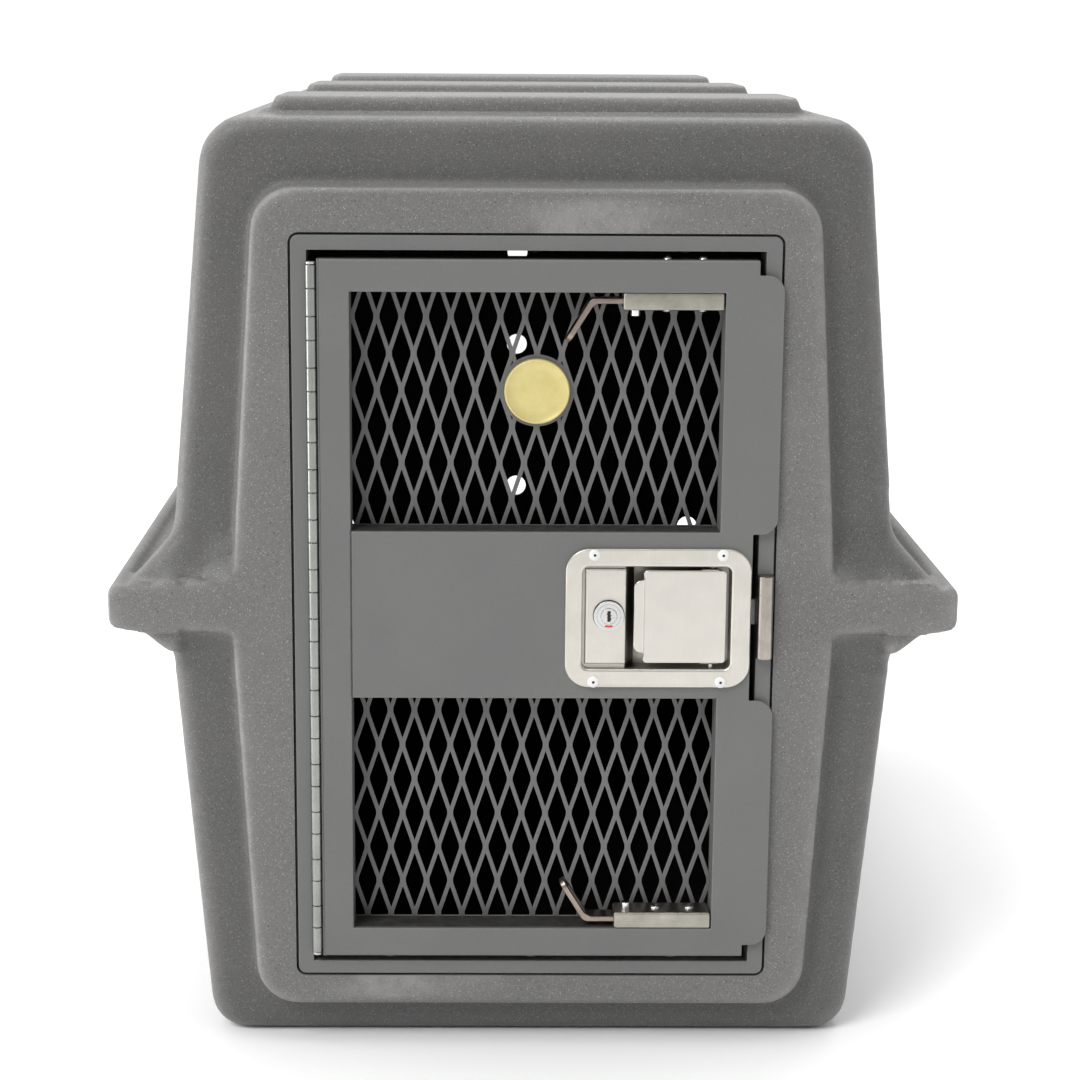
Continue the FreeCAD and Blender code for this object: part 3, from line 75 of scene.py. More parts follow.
# ---- the shell's lengths that its box doesn't give ----
FRONT_Y = -445.0                 # front of the raised surround and of the shelves
FACE_Y = -426.0                  # the front around them
REAR_Y = 451.0
WALL = 5.0
RECESS_GAP = 1.8                 # round the door frame's flange
RECESS_DEEP = 9.0
RECESS_ROUND = 7.8
DOORWAY = ((-174.0, 63.0), (174.0, 627.0))                       # (x, z) of two corners
SIDE = ((250.5, 0.0), (280.5, 345.0), (247.0, 717.5))            # (half width, height) outside
CABIN = ((240.0, 12.0), (270.0, 345.0), (236.5, 707.5))          # and inside
CABIN_ROUND = 34.0
VENT_R = 11.0
REAR_VENTS = ((0, 538.5), (0, 436.5), (0, 277.0), (193.0, 231.0), (-193.0, 231.0))
SIDE_VENTS = tuple((y, z) for y in (-174.0, 6.0, 186.0) for z in (500.0, 590.0))
DRAIN_Z, DRAIN_R = 34.0, 14.0
PLUG_DEPTH = 16.0                # of the fillings that keep the remesh out of the rear's holes
SURROUND_HALF = 238.0            # the zones whose edges stay tight: the surround's,
SURROUND_DEPTH = 12.0
SURROUND_TOP = 675.0
ROOF_FOOT = 712.0                # the ribs' above this height,
SHELF_ROOT = 290.0               # and the shelves' past this half width
SHELF_BAND = (331.0, 372.0)      # heights of the shelves' flat front
WEB_ENDS = (296.0, 440.0)        # heights where the sloping webs run out
WEB_BACK_Y = -392.0
WEB_STEP = 4.0                   # how far the webs stand behind the shelves' front
WEB_REACH = 40.0                 # depth over which the step grows
WEB_INNER = (231.0, 249.0)       # half widths between which it grows
LATCH_RIVET_LEVELS = (296.5, 394.9)     # heights of the rivets in the latch's plate

# ---- how the mould softens the shell ----
VOXEL = 2.6
MELT_ROUNDS = 28
BLEND_ROUNDS = 60
MELT_SURROUND = 0.03
MELT_RIB = 0.04
KEEP_FACES = 0.16                # share of the remeshed faces that stay


# ---- meshes ----

def new_object(name, mesh):
    made = bpy.data.objects.new(name, mesh)
    bpy.context.scene.collection.objects.link(made)
    return made


def from_bmesh(name, shape):
    mesh = bpy.data.meshes.new(name)
    shape.to_mesh(mesh)
    shape.free()
    return new_object(name, mesh)


def apply_modifiers(made):
    """Replaces the object's mesh with what its modifiers make of it."""
    graph = bpy.context.evaluated_depsgraph_get()
    graph.update()
    mesh = bpy.data.meshes.new_from_object(made.evaluated_get(graph))
    made.modifiers.clear()
    old, made.data = made.data, mesh
    bpy.data.meshes.remove(old)
    mesh.name = made.name
    return made


def add_prism(shape, outline, start, end):
    """A closed prism along Y over an outline of (x, z) points, in millimetres."""
    rings = [[shape.verts.new((x * MM, y * MM, z * MM)) for x, z in outline] for y in (start, end)]
    count = len(outline)
    faces = [shape.faces.new(rings[0]), shape.faces.new(rings[1][::-1])]
    for i in range(count):
        j = (i + 1) % count
        faces.append(shape.faces.new((rings[0][j], rings[0][i], rings[1][i], rings[1][j])))
    bmesh.ops.recalc_face_normals(shape, faces=faces)


def add_block(shape, low, high):
    x, z = (low[0], high[0]), (low[2], high[2])
    add_prism(shape, [(x[0], z[0]), (x[1], z[0]), (x[1], z[1]), (x[0], z[1])], low[1], high[1])


def rounded_box(low, high, radius, steps=6):
    """A rectangle's (x, z) outline with rounded corners."""
    points = []
    corners = ((high[0], high[1]), (low[0], high[1]), (low[0], low[1]), (high[0], low[1]))
    for i, (x, z) in enumerate(corners):
        centre_x = x - math.copysign(radius, x - (low[0] + high[0]) / 2)
        centre_z = z - math.copysign(radius, z - (low[1] + high[1]) / 2)
        for step in range(steps + 1):
            turn = math.pi / 2 * (i + step / steps)
            points.append((centre_x + radius * math.cos(turn), centre_z + radius * math.sin(turn)))
    return points


def add_rod(shape, axis, at, length, radius, sides=48):
    """A closed cylinder that starts at a point and runs along +X or +Y, in millimetres."""
    turn = Matrix.Rotation(math.pi / 2, 4, "Y") if axis == "x" else Matrix.Rotation(-math.pi / 2, 4, "X")
    place = Matrix.Translation(Vector(at) * MM) @ turn @ Matrix.Translation((0, 0, length * MM / 2))
    bmesh.ops.create_cone(shape, cap_ends=True, segments=sides, radius1=radius * MM, radius2=radius * MM,
                          depth=length * MM, matrix=place)


def cut_away(made, build, material=0):
    """Takes a closed shape away from the object. build fills an empty bmesh with it.

    material is the place of the cut walls' finish in the object's list.
    """
    shape = bmesh.new()
    build(shape)
    for face in shape.faces:
        face.material_index = material
    cutter = from_bmesh("cutter", shape)
    for look in made.data.materials:
        cutter.data.materials.append(look)
    boolean = made.modifiers.new("cut", "BOOLEAN")
    boolean.operation = "DIFFERENCE"
    boolean.solver = "MANIFOLD"
    boolean.object = cutter
    apply_modifiers(made)
    mesh = cutter.data
    bpy.data.objects.remove(cutter)
    bpy.data.meshes.remove(mesh)


def welded(source):
    """The CAD node's own shape, with its faces joined up again."""
    shape = bmesh.new()
    shape.from_mesh(source.data)
    bmesh.ops.remove_doubles(shape, verts=shape.verts, dist=0.004 * MM)
    return shape


# ---- the shell ----

def side_half(z):
    """Half the shell's width at a height."""
    halves, heights = zip(*SIDE)
    return np.interp(z, heights, halves)


def fill_openings(shape):
    """Closes the door's opening, the vents and the drain, so that a remesh sees a closed shell."""
    low, high = [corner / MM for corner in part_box("door_frame")]
    add_block(shape, (low.x - 3, FRONT_Y, low.z - 3), (high.x + 3, FACE_Y + 26, high.z + 3))
    for x, z in REAR_VENTS:
        add_rod(shape, "y", (x, REAR_Y - PLUG_DEPTH, z), 10.5, VENT_R + 2)
    for y, z in SIDE_VENTS:
        for side in (-1, 1):
            middle = side * (side_half(z) - WALL)
            add_rod(shape, "x", (middle - WALL + 1, y, z), 2 * WALL - 2, VENT_R + 2)
    add_rod(shape, "y", (0, REAR_Y - PLUG_DEPTH, DRAIN_Z), 12, DRAIN_R + 2)


def add_smoothing(made, group, rounds):
    smooth = made.modifiers.new(group, "SMOOTH")
    smooth.factor = 0.5
    smooth.vertex_group = group
    smooth.iterations = rounds


def shell_skin():
    """The shell's outside as one closed skin, its edges melted as a rotational mould leaves them."""
    shape = welded(frame["nodes"]["body_shell"])
    fill_openings(shape)
    skin = from_bmesh("shell_moulding", shape)
    remesh = skin.modifiers.new("voxels", "REMESH")
    remesh.mode = "VOXEL"
    remesh.voxel_size = VOXEL * MM
    apply_modifiers(skin)
    keep_largest(skin)
    weigh_melting(skin)
    add_smoothing(skin, "melt", MELT_ROUNDS)
    add_smoothing(skin, "webs", BLEND_ROUNDS)
    apply_modifiers(skin)
    step_webs(skin)
    thin = skin.modifiers.new("thin", "DECIMATE")
    thin.ratio = KEEP_FACES
    return apply_modifiers(skin)


def weigh_melting(skin):
    """The surround, the shelves and the ribs keep tighter edges than the rest of the shell."""
    melt = skin.vertex_groups.new(name="melt")
    members = {1.0: [], MELT_SURROUND: [], MELT_RIB: []}
    for vert in skin.data.vertices:
        x, y, z = vert.co / MM
        band = SHELF_BAND[0] < z < SHELF_BAND[1]
        front = y < FRONT_Y + SURROUND_DEPTH and z < SURROUND_TOP
        weight = 1.0
        if front and (abs(x) < SURROUND_HALF or band):
            weight = MELT_SURROUND
        elif z > ROOF_FOOT or (abs(x) > SHELF_ROOT and band):
            weight = MELT_RIB
        members[weight].append(vert.index)
    for weight, indices in members.items():
        melt.add(indices, weight, "REPLACE")
    webs = skin.vertex_groups.new(name="webs")
    webs.add([vert.index for vert in skin.data.vertices if on_web(*vert.co / MM)], 1.0, "REPLACE")


def on_web(x, y, z):
    """Whether a point is on one of the sloping webs above and below the front of a shelf."""
    above = SHELF_BAND[1] < z < WEB_ENDS[1]
    below = WEB_ENDS[0] < z < SHELF_BAND[0]
    return abs(x) > WEB_INNER[0] and y < WEB_BACK_Y and (above or below)


def step_webs(skin):
    """Sets the webs a little behind the shelf's front band, most where they meet it."""
    heights = (WEB_ENDS[0], SHELF_BAND[0], SHELF_BAND[1], WEB_ENDS[1])
    for vert in skin.data.vertices:
        x, y, z = vert.co / MM
        if on_web(x, y, z):
            near = np.interp(z, heights, (0, 1, 1, 0)) * np.interp(abs(x), WEB_INNER, (0, 1))
            vert.co.y += WEB_STEP * near * min(1.0, (WEB_BACK_Y - y) / WEB_REACH) * MM


def keep_largest(made):
    """Keeps the connected part of the mesh that reaches furthest."""
    shape = bmesh.new()
    shape.from_mesh(made.data)
    shape.verts.ensure_lookup_table()
    seen, parts = set(), []
    for seed in shape.verts:
        if seed in seen:
            continue
        part, waiting = [], [seed]
        seen.add(seed)
        while waiting:
            vert = waiting.pop()
            part.append(vert)
            for edge in vert.link_edges:
                other = edge.other_vert(vert)
                if other not in seen:
                    seen.add(other)
                    waiting.append(other)
        parts.append(part)
    parts.sort(key=lambda part: max(vert.co.x for vert in part))
    for part in parts[:-1]:
        bmesh.ops.delete(shape, geom=part, context="VERTS")
    shape.to_mesh(made.data)
    shape.free()


def cut_shell(skin):
    """Opens the melted skin: the cabin inside, the door's recess and doorway, the vents and the drain."""
    cabin = [*CABIN, *((-x, z) for x, z in reversed(CABIN))]

    def hollow(shape):
        add_prism(shape, cabin, FACE_Y + WALL, REAR_Y - WALL)
        bmesh.ops.bevel(shape, geom=shape.edges[:], offset=CABIN_ROUND * MM, segments=3, profile=0.5,
                        affect="EDGES")

    def recess(shape):
        low, high = [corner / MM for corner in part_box("door_frame")]
        outline = rounded_box((low.x - RECESS_GAP, low.z - RECESS_GAP),
                              (high.x + RECESS_GAP, high.z + RECESS_GAP), RECESS_ROUND)
        add_prism(shape, outline, FRONT_Y - 5, FRONT_Y + RECESS_DEEP)

    def doorway(shape):
        (left, bottom), (right, top) = DOORWAY
        add_block(shape, (left, FRONT_Y - 6, bottom), (right, FACE_Y + CABIN_ROUND, top))

    def holes(shape):
        for x, z in REAR_VENTS:
            add_rod(shape, "y", (x, REAR_Y - 20, z), 30, VENT_R)
        for y, z in SIDE_VENTS:
            for side in (-1, 1):
                add_rod(shape, "x", (side * side_half(z) - 20, y, z), 40, VENT_R)
        add_rod(shape, "y", (0, REAR_Y - 20, DRAIN_Z), 30, DRAIN_R)

    # The cabin's walls take the second finish, the cabin's painted shade.
    cut_away(skin, hollow, material=1)
    for opening in (recess, doorway, holes):
        cut_away(skin, opening)


def set_smooth(made, angle=35.0):
    for polygon in made.data.polygons:
        polygon.use_smooth = True
    made.data.set_sharp_from_angle(angle=math.radians(angle))


def write_attribute(mesh, name, values):
    attribute = mesh.attributes.new(name, "FLOAT", "POINT")
    attribute.data.foreach_set("value", np.asarray(values, np.float32))


def edge_bulge(mesh, rounds=8):
    """How convex the surface is at each vertex, from 0 in the flat to 1 at a tight outside edge."""
    count = len(mesh.vertices)
    points, normals = np.zeros(count * 3), np.zeros(count * 3)
    mesh.vertices.foreach_get("co", points)
    mesh.vertex_normals.foreach_get("vector", normals)
    points, normals = points.reshape(-1, 3), normals.reshape(-1, 3)
    ends = np.zeros(len(mesh.edges) * 2, np.int64)
    mesh.edges.foreach_get("vertices", ends)
    a, b = ends.reshape(-1, 2).T
    span = points[b] - points[a]
    length = np.maximum((span ** 2).sum(1), 1e-10)
    bend = ((normals[b] - normals[a]) * span).sum(1) / length
    total, weight = np.zeros(count), np.zeros(count)
    for end in (a, b):
        np.add.at(total, end, bend)
        np.add.at(weight, end, 1)
    value = total / np.maximum(weight, 1)
    for _ in range(rounds):
        near = value.copy()
        np.add.at(near, a, value[b])
        np.add.at(near, b, value[a])
        value = near / (weight + 1)
    flat, tight = 14.0, 89.0
    return np.clip((value - flat) / (tight - flat), 0, 1), points, normals


def paint_shell(skin):
    """Marks the shell's convex edges, which its finish lightens as wear and painted highlight, and the
    front's set-back ring, which it darkens as painted shade.
    """
    mesh = skin.data
    bulge, points, normals = edge_bulge(mesh)
    write_attribute(mesh, "bulge", bulge)
    # The ring's painted shade: the deeper behind the front and the more nearly facing it, the darker.
    depth = np.clip((points[:, 1] / MM - FRONT_Y - 3) / 9.0, 0, 1)
    facing = np.clip(-normals[:, 1] * 1.6 - 0.4, 0, 1)
    write_attribute(mesh, "ring_shade", depth * facing * (points[:, 1] < (FACE_Y + 8) * MM))


# ---- materials ----

class Look:
    """A procedural material: one Principled shader, and the textures that drive it."""

    def __init__(self, name, metallic=0.0, roughness=0.5, **sockets):
        self.material = bpy.data.materials.new(name)
        self.material.use_nodes = True
        self.tree = self.material.node_tree
        self.surface = self.tree.nodes["Principled BSDF"]
        self.plug("Metallic", metallic)
        self.plug("Roughness", roughness)
        for socket, value in sockets.items():
            self.plug(socket.replace("_", " "), value)
        self.place = self.node("ShaderNodeTexCoord").outputs["Object"]
        # Textures are sampled askew, so that no wall lies along their lattice and shows it as bands.
        self.askew = self.node("ShaderNodeMapping", {"Vector": self.place,
                                                     "Rotation": (0.6, 0.9, 0.4)}).outputs["Vector"]

    def plug(self, socket, value, node=None):
        target = (node or self.surface).inputs[socket]
        if isinstance(value, bpy.types.NodeSocket):
            self.tree.links.new(value, target)
        else:
            target.default_value = value

    def node(self, kind, inputs=None, **settings):
        made = self.tree.nodes.new(kind)
        for name, value in settings.items():
            setattr(made, name, value)
        for socket, value in (inputs or {}).items():
            self.plug(socket, value, made)
        return made

    def stretched(self, scale):
        return self.node("ShaderNodeMapping", {"Vector": self.place, "Scale": scale}).outputs["Vector"]

    def noise(self, size, detail=3.0, rough=0.55, stretch=None):
        """Noise between 0 and 1 whose features are about size millimetres wide."""
        where = self.stretched(stretch) if stretch else self.askew
        return self.node("ShaderNodeTexNoise", {"Vector": where, "Scale": 1.0 / (size * MM),
                                                "Detail": detail, "Roughness": rough}).outputs["Fac"]

    def specks(self, size, share, radius):
        """1 inside scattered round specks: one cell in share, radius as a part of the cell."""
        cells = self.node("ShaderNodeTexVoronoi", {"Vector": self.askew, "Scale": 1.0 / (size * MM)})
        near = self.remap(cells.outputs["Distance"], radius, radius * 0.6, 0, 1)
        chance = self.node("ShaderNodeSeparateColor", {"Color": cells.outputs["Color"]}).outputs["Red"]
        picked = self.remap(chance, 1 - share, 1 - share + 0.01, 0, 1)
        return self.math("MULTIPLY", near, picked)

    def remap(self, value, start, end, low, high):
        return self.node("ShaderNodeMapRange", {"Value": value, "From Min": start, "From Max": end,
                                                "To Min": low, "To Max": high}).outputs["Result"]

    def math(self, operation, a, b):
        made = self.node("ShaderNodeMath", operation=operation)
        for i, value in enumerate((a, b)):
            self.plug(i, value, made)
        return made.outputs["Value"]

    def mix(self, share, a, b, blend="MIX"):
        """Colour a where share is 0 and b where it is 1."""
        made = self.node("ShaderNodeMix", data_type="RGBA", blend_type=blend)
        for name, value in (("Factor", share), ("A", a), ("B", b)):
            kind = "VALUE" if name == "Factor" else "RGBA"
            target = next(s for s in made.inputs if s.name == name and s.type == kind)
            if isinstance(value, bpy.types.NodeSocket):
                self.tree.links.new(value, target)
            else:
                target.default_value = (*value, 1) if kind == "RGBA" else value
        return next(s for s in made.outputs if s.type == "RGBA")

    def along(self, axis, start, end, low=0.0, high=1.0):
        """low where the piece's own coordinate is start millimetres, high where it is end."""
        split = self.node("ShaderNodeSeparateXYZ", {"Vector": self.place})
        return self.remap(split.outputs[axis], start * MM, end * MM, low, high)

    def facing(self, axis, start, end):
        """0 where the surface's normal has start along an axis, 1 where it has end."""
        normal = self.node("ShaderNodeNewGeometry").outputs["Normal"]
        split = self.node("ShaderNodeSeparateXYZ", {"Vector": normal})
        return self.remap(split.outputs[axis], start, end, 0, 1)

    def attribute(self, name):
        return self.node("ShaderNodeAttribute", attribute_name=name).outputs["Fac"]

    def edges(self, radius, start=0.995, end=0.93):
        """1 near the piece's edges and corners, fading out over radius millimetres."""
        soft = self.node("ShaderNodeBevel", {"Radius": radius * MM}, samples=4).outputs["Normal"]
        true = self.node("ShaderNodeNewGeometry").outputs["Normal"]
        alike = self.node("ShaderNodeVectorMath", {0: soft, 1: true}, operation="DOT_PRODUCT")
        return self.remap(alike.outputs["Value"], start, end, 0, 1)

    def bump(self, *layers):
        """Stacks (height, depth in millimetres) layers into the surface's normal."""
        normal = None
        for height, depth in layers:
            inputs = {"Height": height, "Strength": 1.0, "Distance": depth * MM}
            if normal:
                inputs["Normal"] = normal
            normal = self.node("ShaderNodeBump", inputs).outputs["Normal"]
        self.plug("Normal", normal)


def grey(value, warm=0.0, green=0.0):
    return (value * (1 + warm), value * (1 + green), value * (1 - warm))


# (cell size, share of cells, radius as a part of the cell, tone against the plastic's)
FLECKS = ((1.2, 0.5, 0.38, 1.8), (1.7, 0.4, 0.32, 2.4), (3.1, 0.35, 0.19, 3.0), (1.5, 0.45, 0.36, 0.5),
          (4.4, 0.35, 0.16, 0.16))


def shell_look(level=0.139):
    """Rotationally moulded polyethylene with light and dark flecks in it."""
    look = Look("speckled_plastic", roughness=0.5, Specular_IOR_Level=0.45)
    cloud = look.remap(look.noise(90, 3), 0.3, 0.7, 0, 1)
    mottle = look.remap(look.noise(2.6, 4, 0.7), 0.3, 0.7, 0, 1)
    colour = look.mix(cloud, grey(level * 0.93, 0.012), grey(level * 1.06, 0.02))
    colour = look.mix(look.math("MULTIPLY", mottle, 0.35), colour, grey(level * 1.3, 0.02))
    for size, share, radius, tone in FLECKS:
        flecks = look.math("MULTIPLY", look.specks(size, share, radius), 0.66)
        colour = look.mix(flecks, colour, grey(min(level * tone, 0.8), 0.02))
    # Painted shade: the front's set-back ring is darkened towards black.
    colour = look.mix(look.math("MULTIPLY", look.attribute("ring_shade"), 0.34), colour, grey(0.0))
    # Convex edges are lightened: partly scuffed wear, partly a painted highlight.
    bulge = look.attribute("bulge")
    wear_and_highlight = look.math("MULTIPLY", bulge, look.remap(look.noise(14, 5, 0.7), 0.35, 0.6, 0.2, 0.55))
    colour = look.mix(wear_and_highlight, colour, grey(level * 2.2, 0.02))
    look.plug("Base Color", colour)
    look.plug("Roughness", look.remap(look.noise(5, 4), 0.3, 0.7, 0.42, 0.58))
    look.bump((look.noise(42, 2), 0.5), (look.noise(3.2, 3), 0.16), (look.noise(0.9, 2), 0.05))
    return look.material


def cabin_shade_look():
    """The same plastic painted near black, as painted shade for the unlit cabin, with faint dusty flecks.
    """
    look = Look("cabin_painted_shade", roughness=0.7, Specular_IOR_Level=0.2)
    shade = look.remap(look.noise(60, 4), 0.3, 0.7, 0, 1)
    colour = look.mix(shade, grey(0.016), grey(0.026, 0.02))
    look.plug("Base Color", look.mix(look.specks(2.4, 0.4, 0.3), colour, grey(0.055)))
    look.bump((look.noise(3.2, 3), 0.2))
    return look.material


def paint_look(name, level, wear=0.5, green=0.02, ledge_shade=None):
    """Fine textured powder coat on steel, rubbed pale along its edges.

    The last argument holds the depths along Y between which painted shade darkens the ledges that face up.
    """
    look = Look(name, roughness=0.5, Specular_IOR_Level=0.5)
    cloud = look.remap(look.noise(70, 4), 0.3, 0.7, 0, 1)
    colour = look.mix(cloud, grey(level * 0.95, 0.0, green), grey(level * 1.05, 0.012, green))
    grain = look.remap(look.noise(1.1, 3, 0.7), 0.3, 0.7, 0, 1)
    colour = look.mix(look.math("MULTIPLY", grain, 0.42), colour, grey(level * 0.7, 0.0, green))
    rub = look.math("MULTIPLY", look.edges(1.3), look.remap(look.noise(6, 4), 0.35, 0.65, 0.1, wear))
    colour = look.mix(rub, colour, grey(min(level * 2.2, 0.6), 0.02))
    # Painted shade: up-facing ledges between the given depths are darkened nearly to black.
    if ledge_shade:
        ledge = look.math("MULTIPLY", look.along("Y", *ledge_shade), look.facing("Z", 0.5, 0.9))
        patch = look.remap(look.noise(9, 4), 0.3, 0.7, 0.7, 0.92)
        colour = look.mix(look.math("MULTIPLY", ledge, patch), colour, (0.012, 0.01, 0.008))
    look.plug("Base Color", colour)
    look.plug("Roughness", look.remap(look.noise(1.6, 3), 0.3, 0.7, 0.42, 0.6))
    look.bump((look.noise(55, 2), 0.25), (look.noise(1.5, 3), 0.05))
    return look.material


def brushed_look(name, colour, roughness=0.33, along=(0.02, 1, 1), depth=0.02, stain=0.08, recess_shade=None,
                 edge=0.0):
    """Bare metal with fine brush lines along one axis and faint stains.

    The argument before the last holds the depths along Y and the places along X between which painted shade
    darkens a recess.
    edge is how dark the painted shade along its edges is.
    """
    look = Look(name, metallic=1.0, roughness=roughness)
    lines = look.noise(0.35, 4, 0.7, stretch=along)
    cloud = look.remap(look.noise(18, 4), 0.3, 0.7, 0, 1)
    dull = tuple(c * (1 - stain) for c in colour)
    tone = look.mix(cloud, colour, dull)
    streak = look.remap(lines, 0.35, 0.65, 0, 0.35)
    tone = look.mix(streak, tone, tuple(c * (1 - 1.6 * stain) for c in colour))
    # Painted shade: the recess between the given depths is darkened, less past the given places along X.
    if recess_shade:
        deep, across = recess_shade
        share = look.math("MULTIPLY", look.along("Y", *deep), look.along("X", *across, 0.93, 0.3))
        patch = look.remap(look.noise(10, 4), 0.3, 0.7, 0.85, 1.0)
        tone = look.mix(look.math("MULTIPLY", share, patch), tone, (0.045, 0.037, 0.028))
    # Painted shade: the edges are darkened, as in the gaps between parts.
    if edge:
        tone = look.mix(look.math("MULTIPLY", look.edges(0.9), edge), tone, (0.02, 0.017, 0.014))
    look.plug("Base Color", tone)
    look.plug("Roughness", look.remap(lines, 0.3, 0.7, roughness * 0.85, roughness * 1.2))
    look.bump((lines, depth), (look.noise(12, 2), 0.1))
    return look.material


def rubber_look():
    look = Look("black_rubber", roughness=0.6)
    shade = look.remap(look.noise(8, 4), 0.3, 0.7, 0, 1)
    colour = look.mix(shade, grey(0.02), grey(0.035))
    look.plug("Base Color", look.mix(look.edges(1.0), colour, grey(0.08)))
    look.bump((look.noise(1.2, 3), 0.06))
    return look.material


def badge_look():
    """Pale yellow enamelled brass, slightly grained."""
    look = Look("badge_enamel", metallic=0.15, roughness=0.38)
    cloud = look.remap(look.noise(9, 4), 0.3, 0.7, 0, 1)
    colour = look.mix(cloud, (0.66, 0.56, 0.21), (0.72, 0.62, 0.27))
    grain = look.remap(look.noise(0.5, 3, 0.7), 0.4, 0.7, 0, 0.4)
    colour = look.mix(grain, colour, (0.48, 0.4, 0.14))
    look.plug("Base Color", look.mix(look.math("MULTIPLY", look.edges(0.8), 0.6), colour, (0.9, 0.86, 0.6)))
    look.bump((look.noise(0.6, 3), 0.02))
    return look.material


def mark_look(name, colour, roughness=0.5):
    """A small painted or shaded spot."""
    look = Look(name, roughness=roughness)
    look.plug("Base Color", look.mix(look.remap(look.noise(0.5, 3), 0.3, 0.7, 0, 1), colour,
                                     tuple(c * 0.7 for c in colour)))
    look.bump((look.noise(0.4, 2), 0.02))
    return look.material


# Where painted shade darkens the latch's dish.
LATCH_SHADED_DISH = ((-452.3, -446.0), (74.0, 83.0))    # its depths, and the finger space by the paddle
# Up-facing ledges of the door pan between these depths get painted shade.
DOOR_SHADED_LEDGES = (-450.2, -446.0)                   # depths of the door pan's folded edge
LOOKS = {
    "shell": shell_look(),
    "frame_paint": paint_look("frame_coat", 0.156, 0.4, 0.03),
    "door_paint": paint_look("door_coat", 0.152, 0.4, 0.03, ledge_shade=DOOR_SHADED_LEDGES),
    "mesh_paint": paint_look("mesh_coat", 0.145, 0.25, 0.0),
    # The hinge's knuckle ends are darkened: painted shade in the gaps between knuckles.
    "hinge_steel": brushed_look("hinge_steel", (0.36, 0.37, 0.345), 0.28, (1, 1, 0.03), 0.02, 0.2,
                                edge=0.9),
    "pin_steel": brushed_look("pin_steel", (0.6, 0.59, 0.57), 0.3, (1, 1, 0.03)),
    "stainless": brushed_look("satin_stainless", (0.69, 0.66, 0.61), 0.36, (1, 1, 0.02), 0.015, 0.06),
    "bright_metal": brushed_look("bright_aluminium", (0.93, 0.93, 0.92), 0.22, (1, 1, 0.2), 0.01, 0.05),
    "zinc": brushed_look("dull_zinc", (0.5, 0.5, 0.49), 0.42, (1, 1, 0.3), 0.03, 0.2),
    "lock_metal": brushed_look("lock_chrome", (0.7, 0.7, 0.69), 0.25, (0.05, 1, 1), 0.03, 0.2),
    "brass": brushed_look("insert_brass", (0.7, 0.55, 0.28), 0.35, (1, 1, 0.3)),
    "badge": badge_look(),
    "spring_steel": brushed_look("spring_wire", (0.55, 0.54, 0.53), 0.3, (1, 1, 0.2)),
    "plug_rubber": rubber_look(),
}
CABIN_SHADE = cabin_shade_look()
SHADOW_BLACK = mark_look("shadow_black", (0.012, 0.012, 0.012))
RED = mark_look("red_paint", (0.75, 0.03, 0.03))
LATCH_STEEL = brushed_look("latch_stainless", (0.7, 0.67, 0.615), 0.38, (1, 1, 0.02), 0.015, 0.1,
                           recess_shade=LATCH_SHADED_DISH)
# The slides', levers' and strike's edges are darkened: painted shade.
SLIDE_STEEL = brushed_look("slide_steel", (0.5, 0.475, 0.41), 0.34, (0.02, 1, 1), 0.03, 0.3, edge=0.5)
LEVER_STEEL = brushed_look("lever_steel", (0.4, 0.33, 0.28), 0.3, (0.03, 1, 1), 0.03, 0.3, edge=0.35)
STRIKE_STEEL = brushed_look("strike_steel", (0.46, 0.42, 0.37), 0.24, (1, 1, 0.02), 0.02, 0.35, edge=0.5)
RIVET_WHITE = paint_look("rivet_white", 0.82, 0.1, 0.0)


def settle(made, node, *looks):
    """Puts a piece on the body of the CAD node it stands for, with that node's slot and finish."""
    source = frame["nodes"][node]
    slot = source.data.materials[0].name
    finishes = made.data.materials
    for index, look in enumerate(looks or (LOOKS[slot],)):
        if index < len(finishes):
            finishes[index] = look
        else:
            finishes.append(look)
    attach(made, source["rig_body"])
    return made


def runs_along(edge, axis):
    """Whether an edge is parallel to an axis, 0 for X to 2 for Z."""
    span = edge.verts[1].co - edge.verts[0].co
    return abs(span[axis]) > 0.999 * span.length


def edge_at(edge, axis, value):
    return all(abs(vert.co[axis] - value) < 0.05 * MM for vert in edge.verts)


def door_bends(shape, low, high):
    """The folded left, top and bottom edges of the door's front, and the radius of the fold."""
    folds = [edge for edge in shape.edges if edge_at(edge, 1, low.y)
             and (edge_at(edge, 0, low.x) or edge_at(edge, 2, low.z) or edge_at(edge, 2, high.z))]
    corners = [edge for edge in shape.edges if runs_along(edge, 1) and edge_at(edge, 0, low.x)
               and (edge_at(edge, 2, low.z) or edge_at(edge, 2, high.z))]
    return folds + corners, 2.2


def lever_bends(shape, low, _high):
    """The gentle bends of a slide's finger lever, past its cut end, and their radius."""
    tip, least, most = low.x + 12 * MM, 0.3, 1.35
    return [edge for edge in shape.edges if runs_along(edge, 1) and edge.verts[0].co.x > tip
            and len(edge.link_faces) == 2 and least < edge.calc_face_angle() < most], 3.5


def eased(node, width=0.5, look=None, bends=None, segments=2, angle=32.0):
    """A copy of a CAD node with its sharp edges eased, which stands for the node.

    bends picks the edges that are folds rather than cuts, and gives their radius.
    """
    shape = welded(frame["nodes"][node])
    bmesh.ops.dissolve_limit(shape, angle_limit=math.radians(0.5), verts=shape.verts, edges=shape.edges)
    if bends:
        edges, radius = bends(shape, *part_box(node))
        bmesh.ops.bevel(shape, geom=edges, offset=radius * MM, segments=5, profile=0.5, affect="EDGES")
    made = from_bmesh(f"{node}_eased", shape)
    if width:
        bevel = made.modifiers.new("ease", "BEVEL")
        bevel.width = width * MM
        bevel.segments = segments
        bevel.limit_method = "ANGLE"
        bevel.angle_limit = math.radians(angle)
        bevel.use_clamp_overlap = False
        apply_modifiers(made)
    set_smooth(made, 40)
    weighted = made.modifiers.new("weighted", "WEIGHTED_NORMAL")
    weighted.keep_sharp = True
    settle(made, node, *([look] if look else []))
    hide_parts(node)
    return made


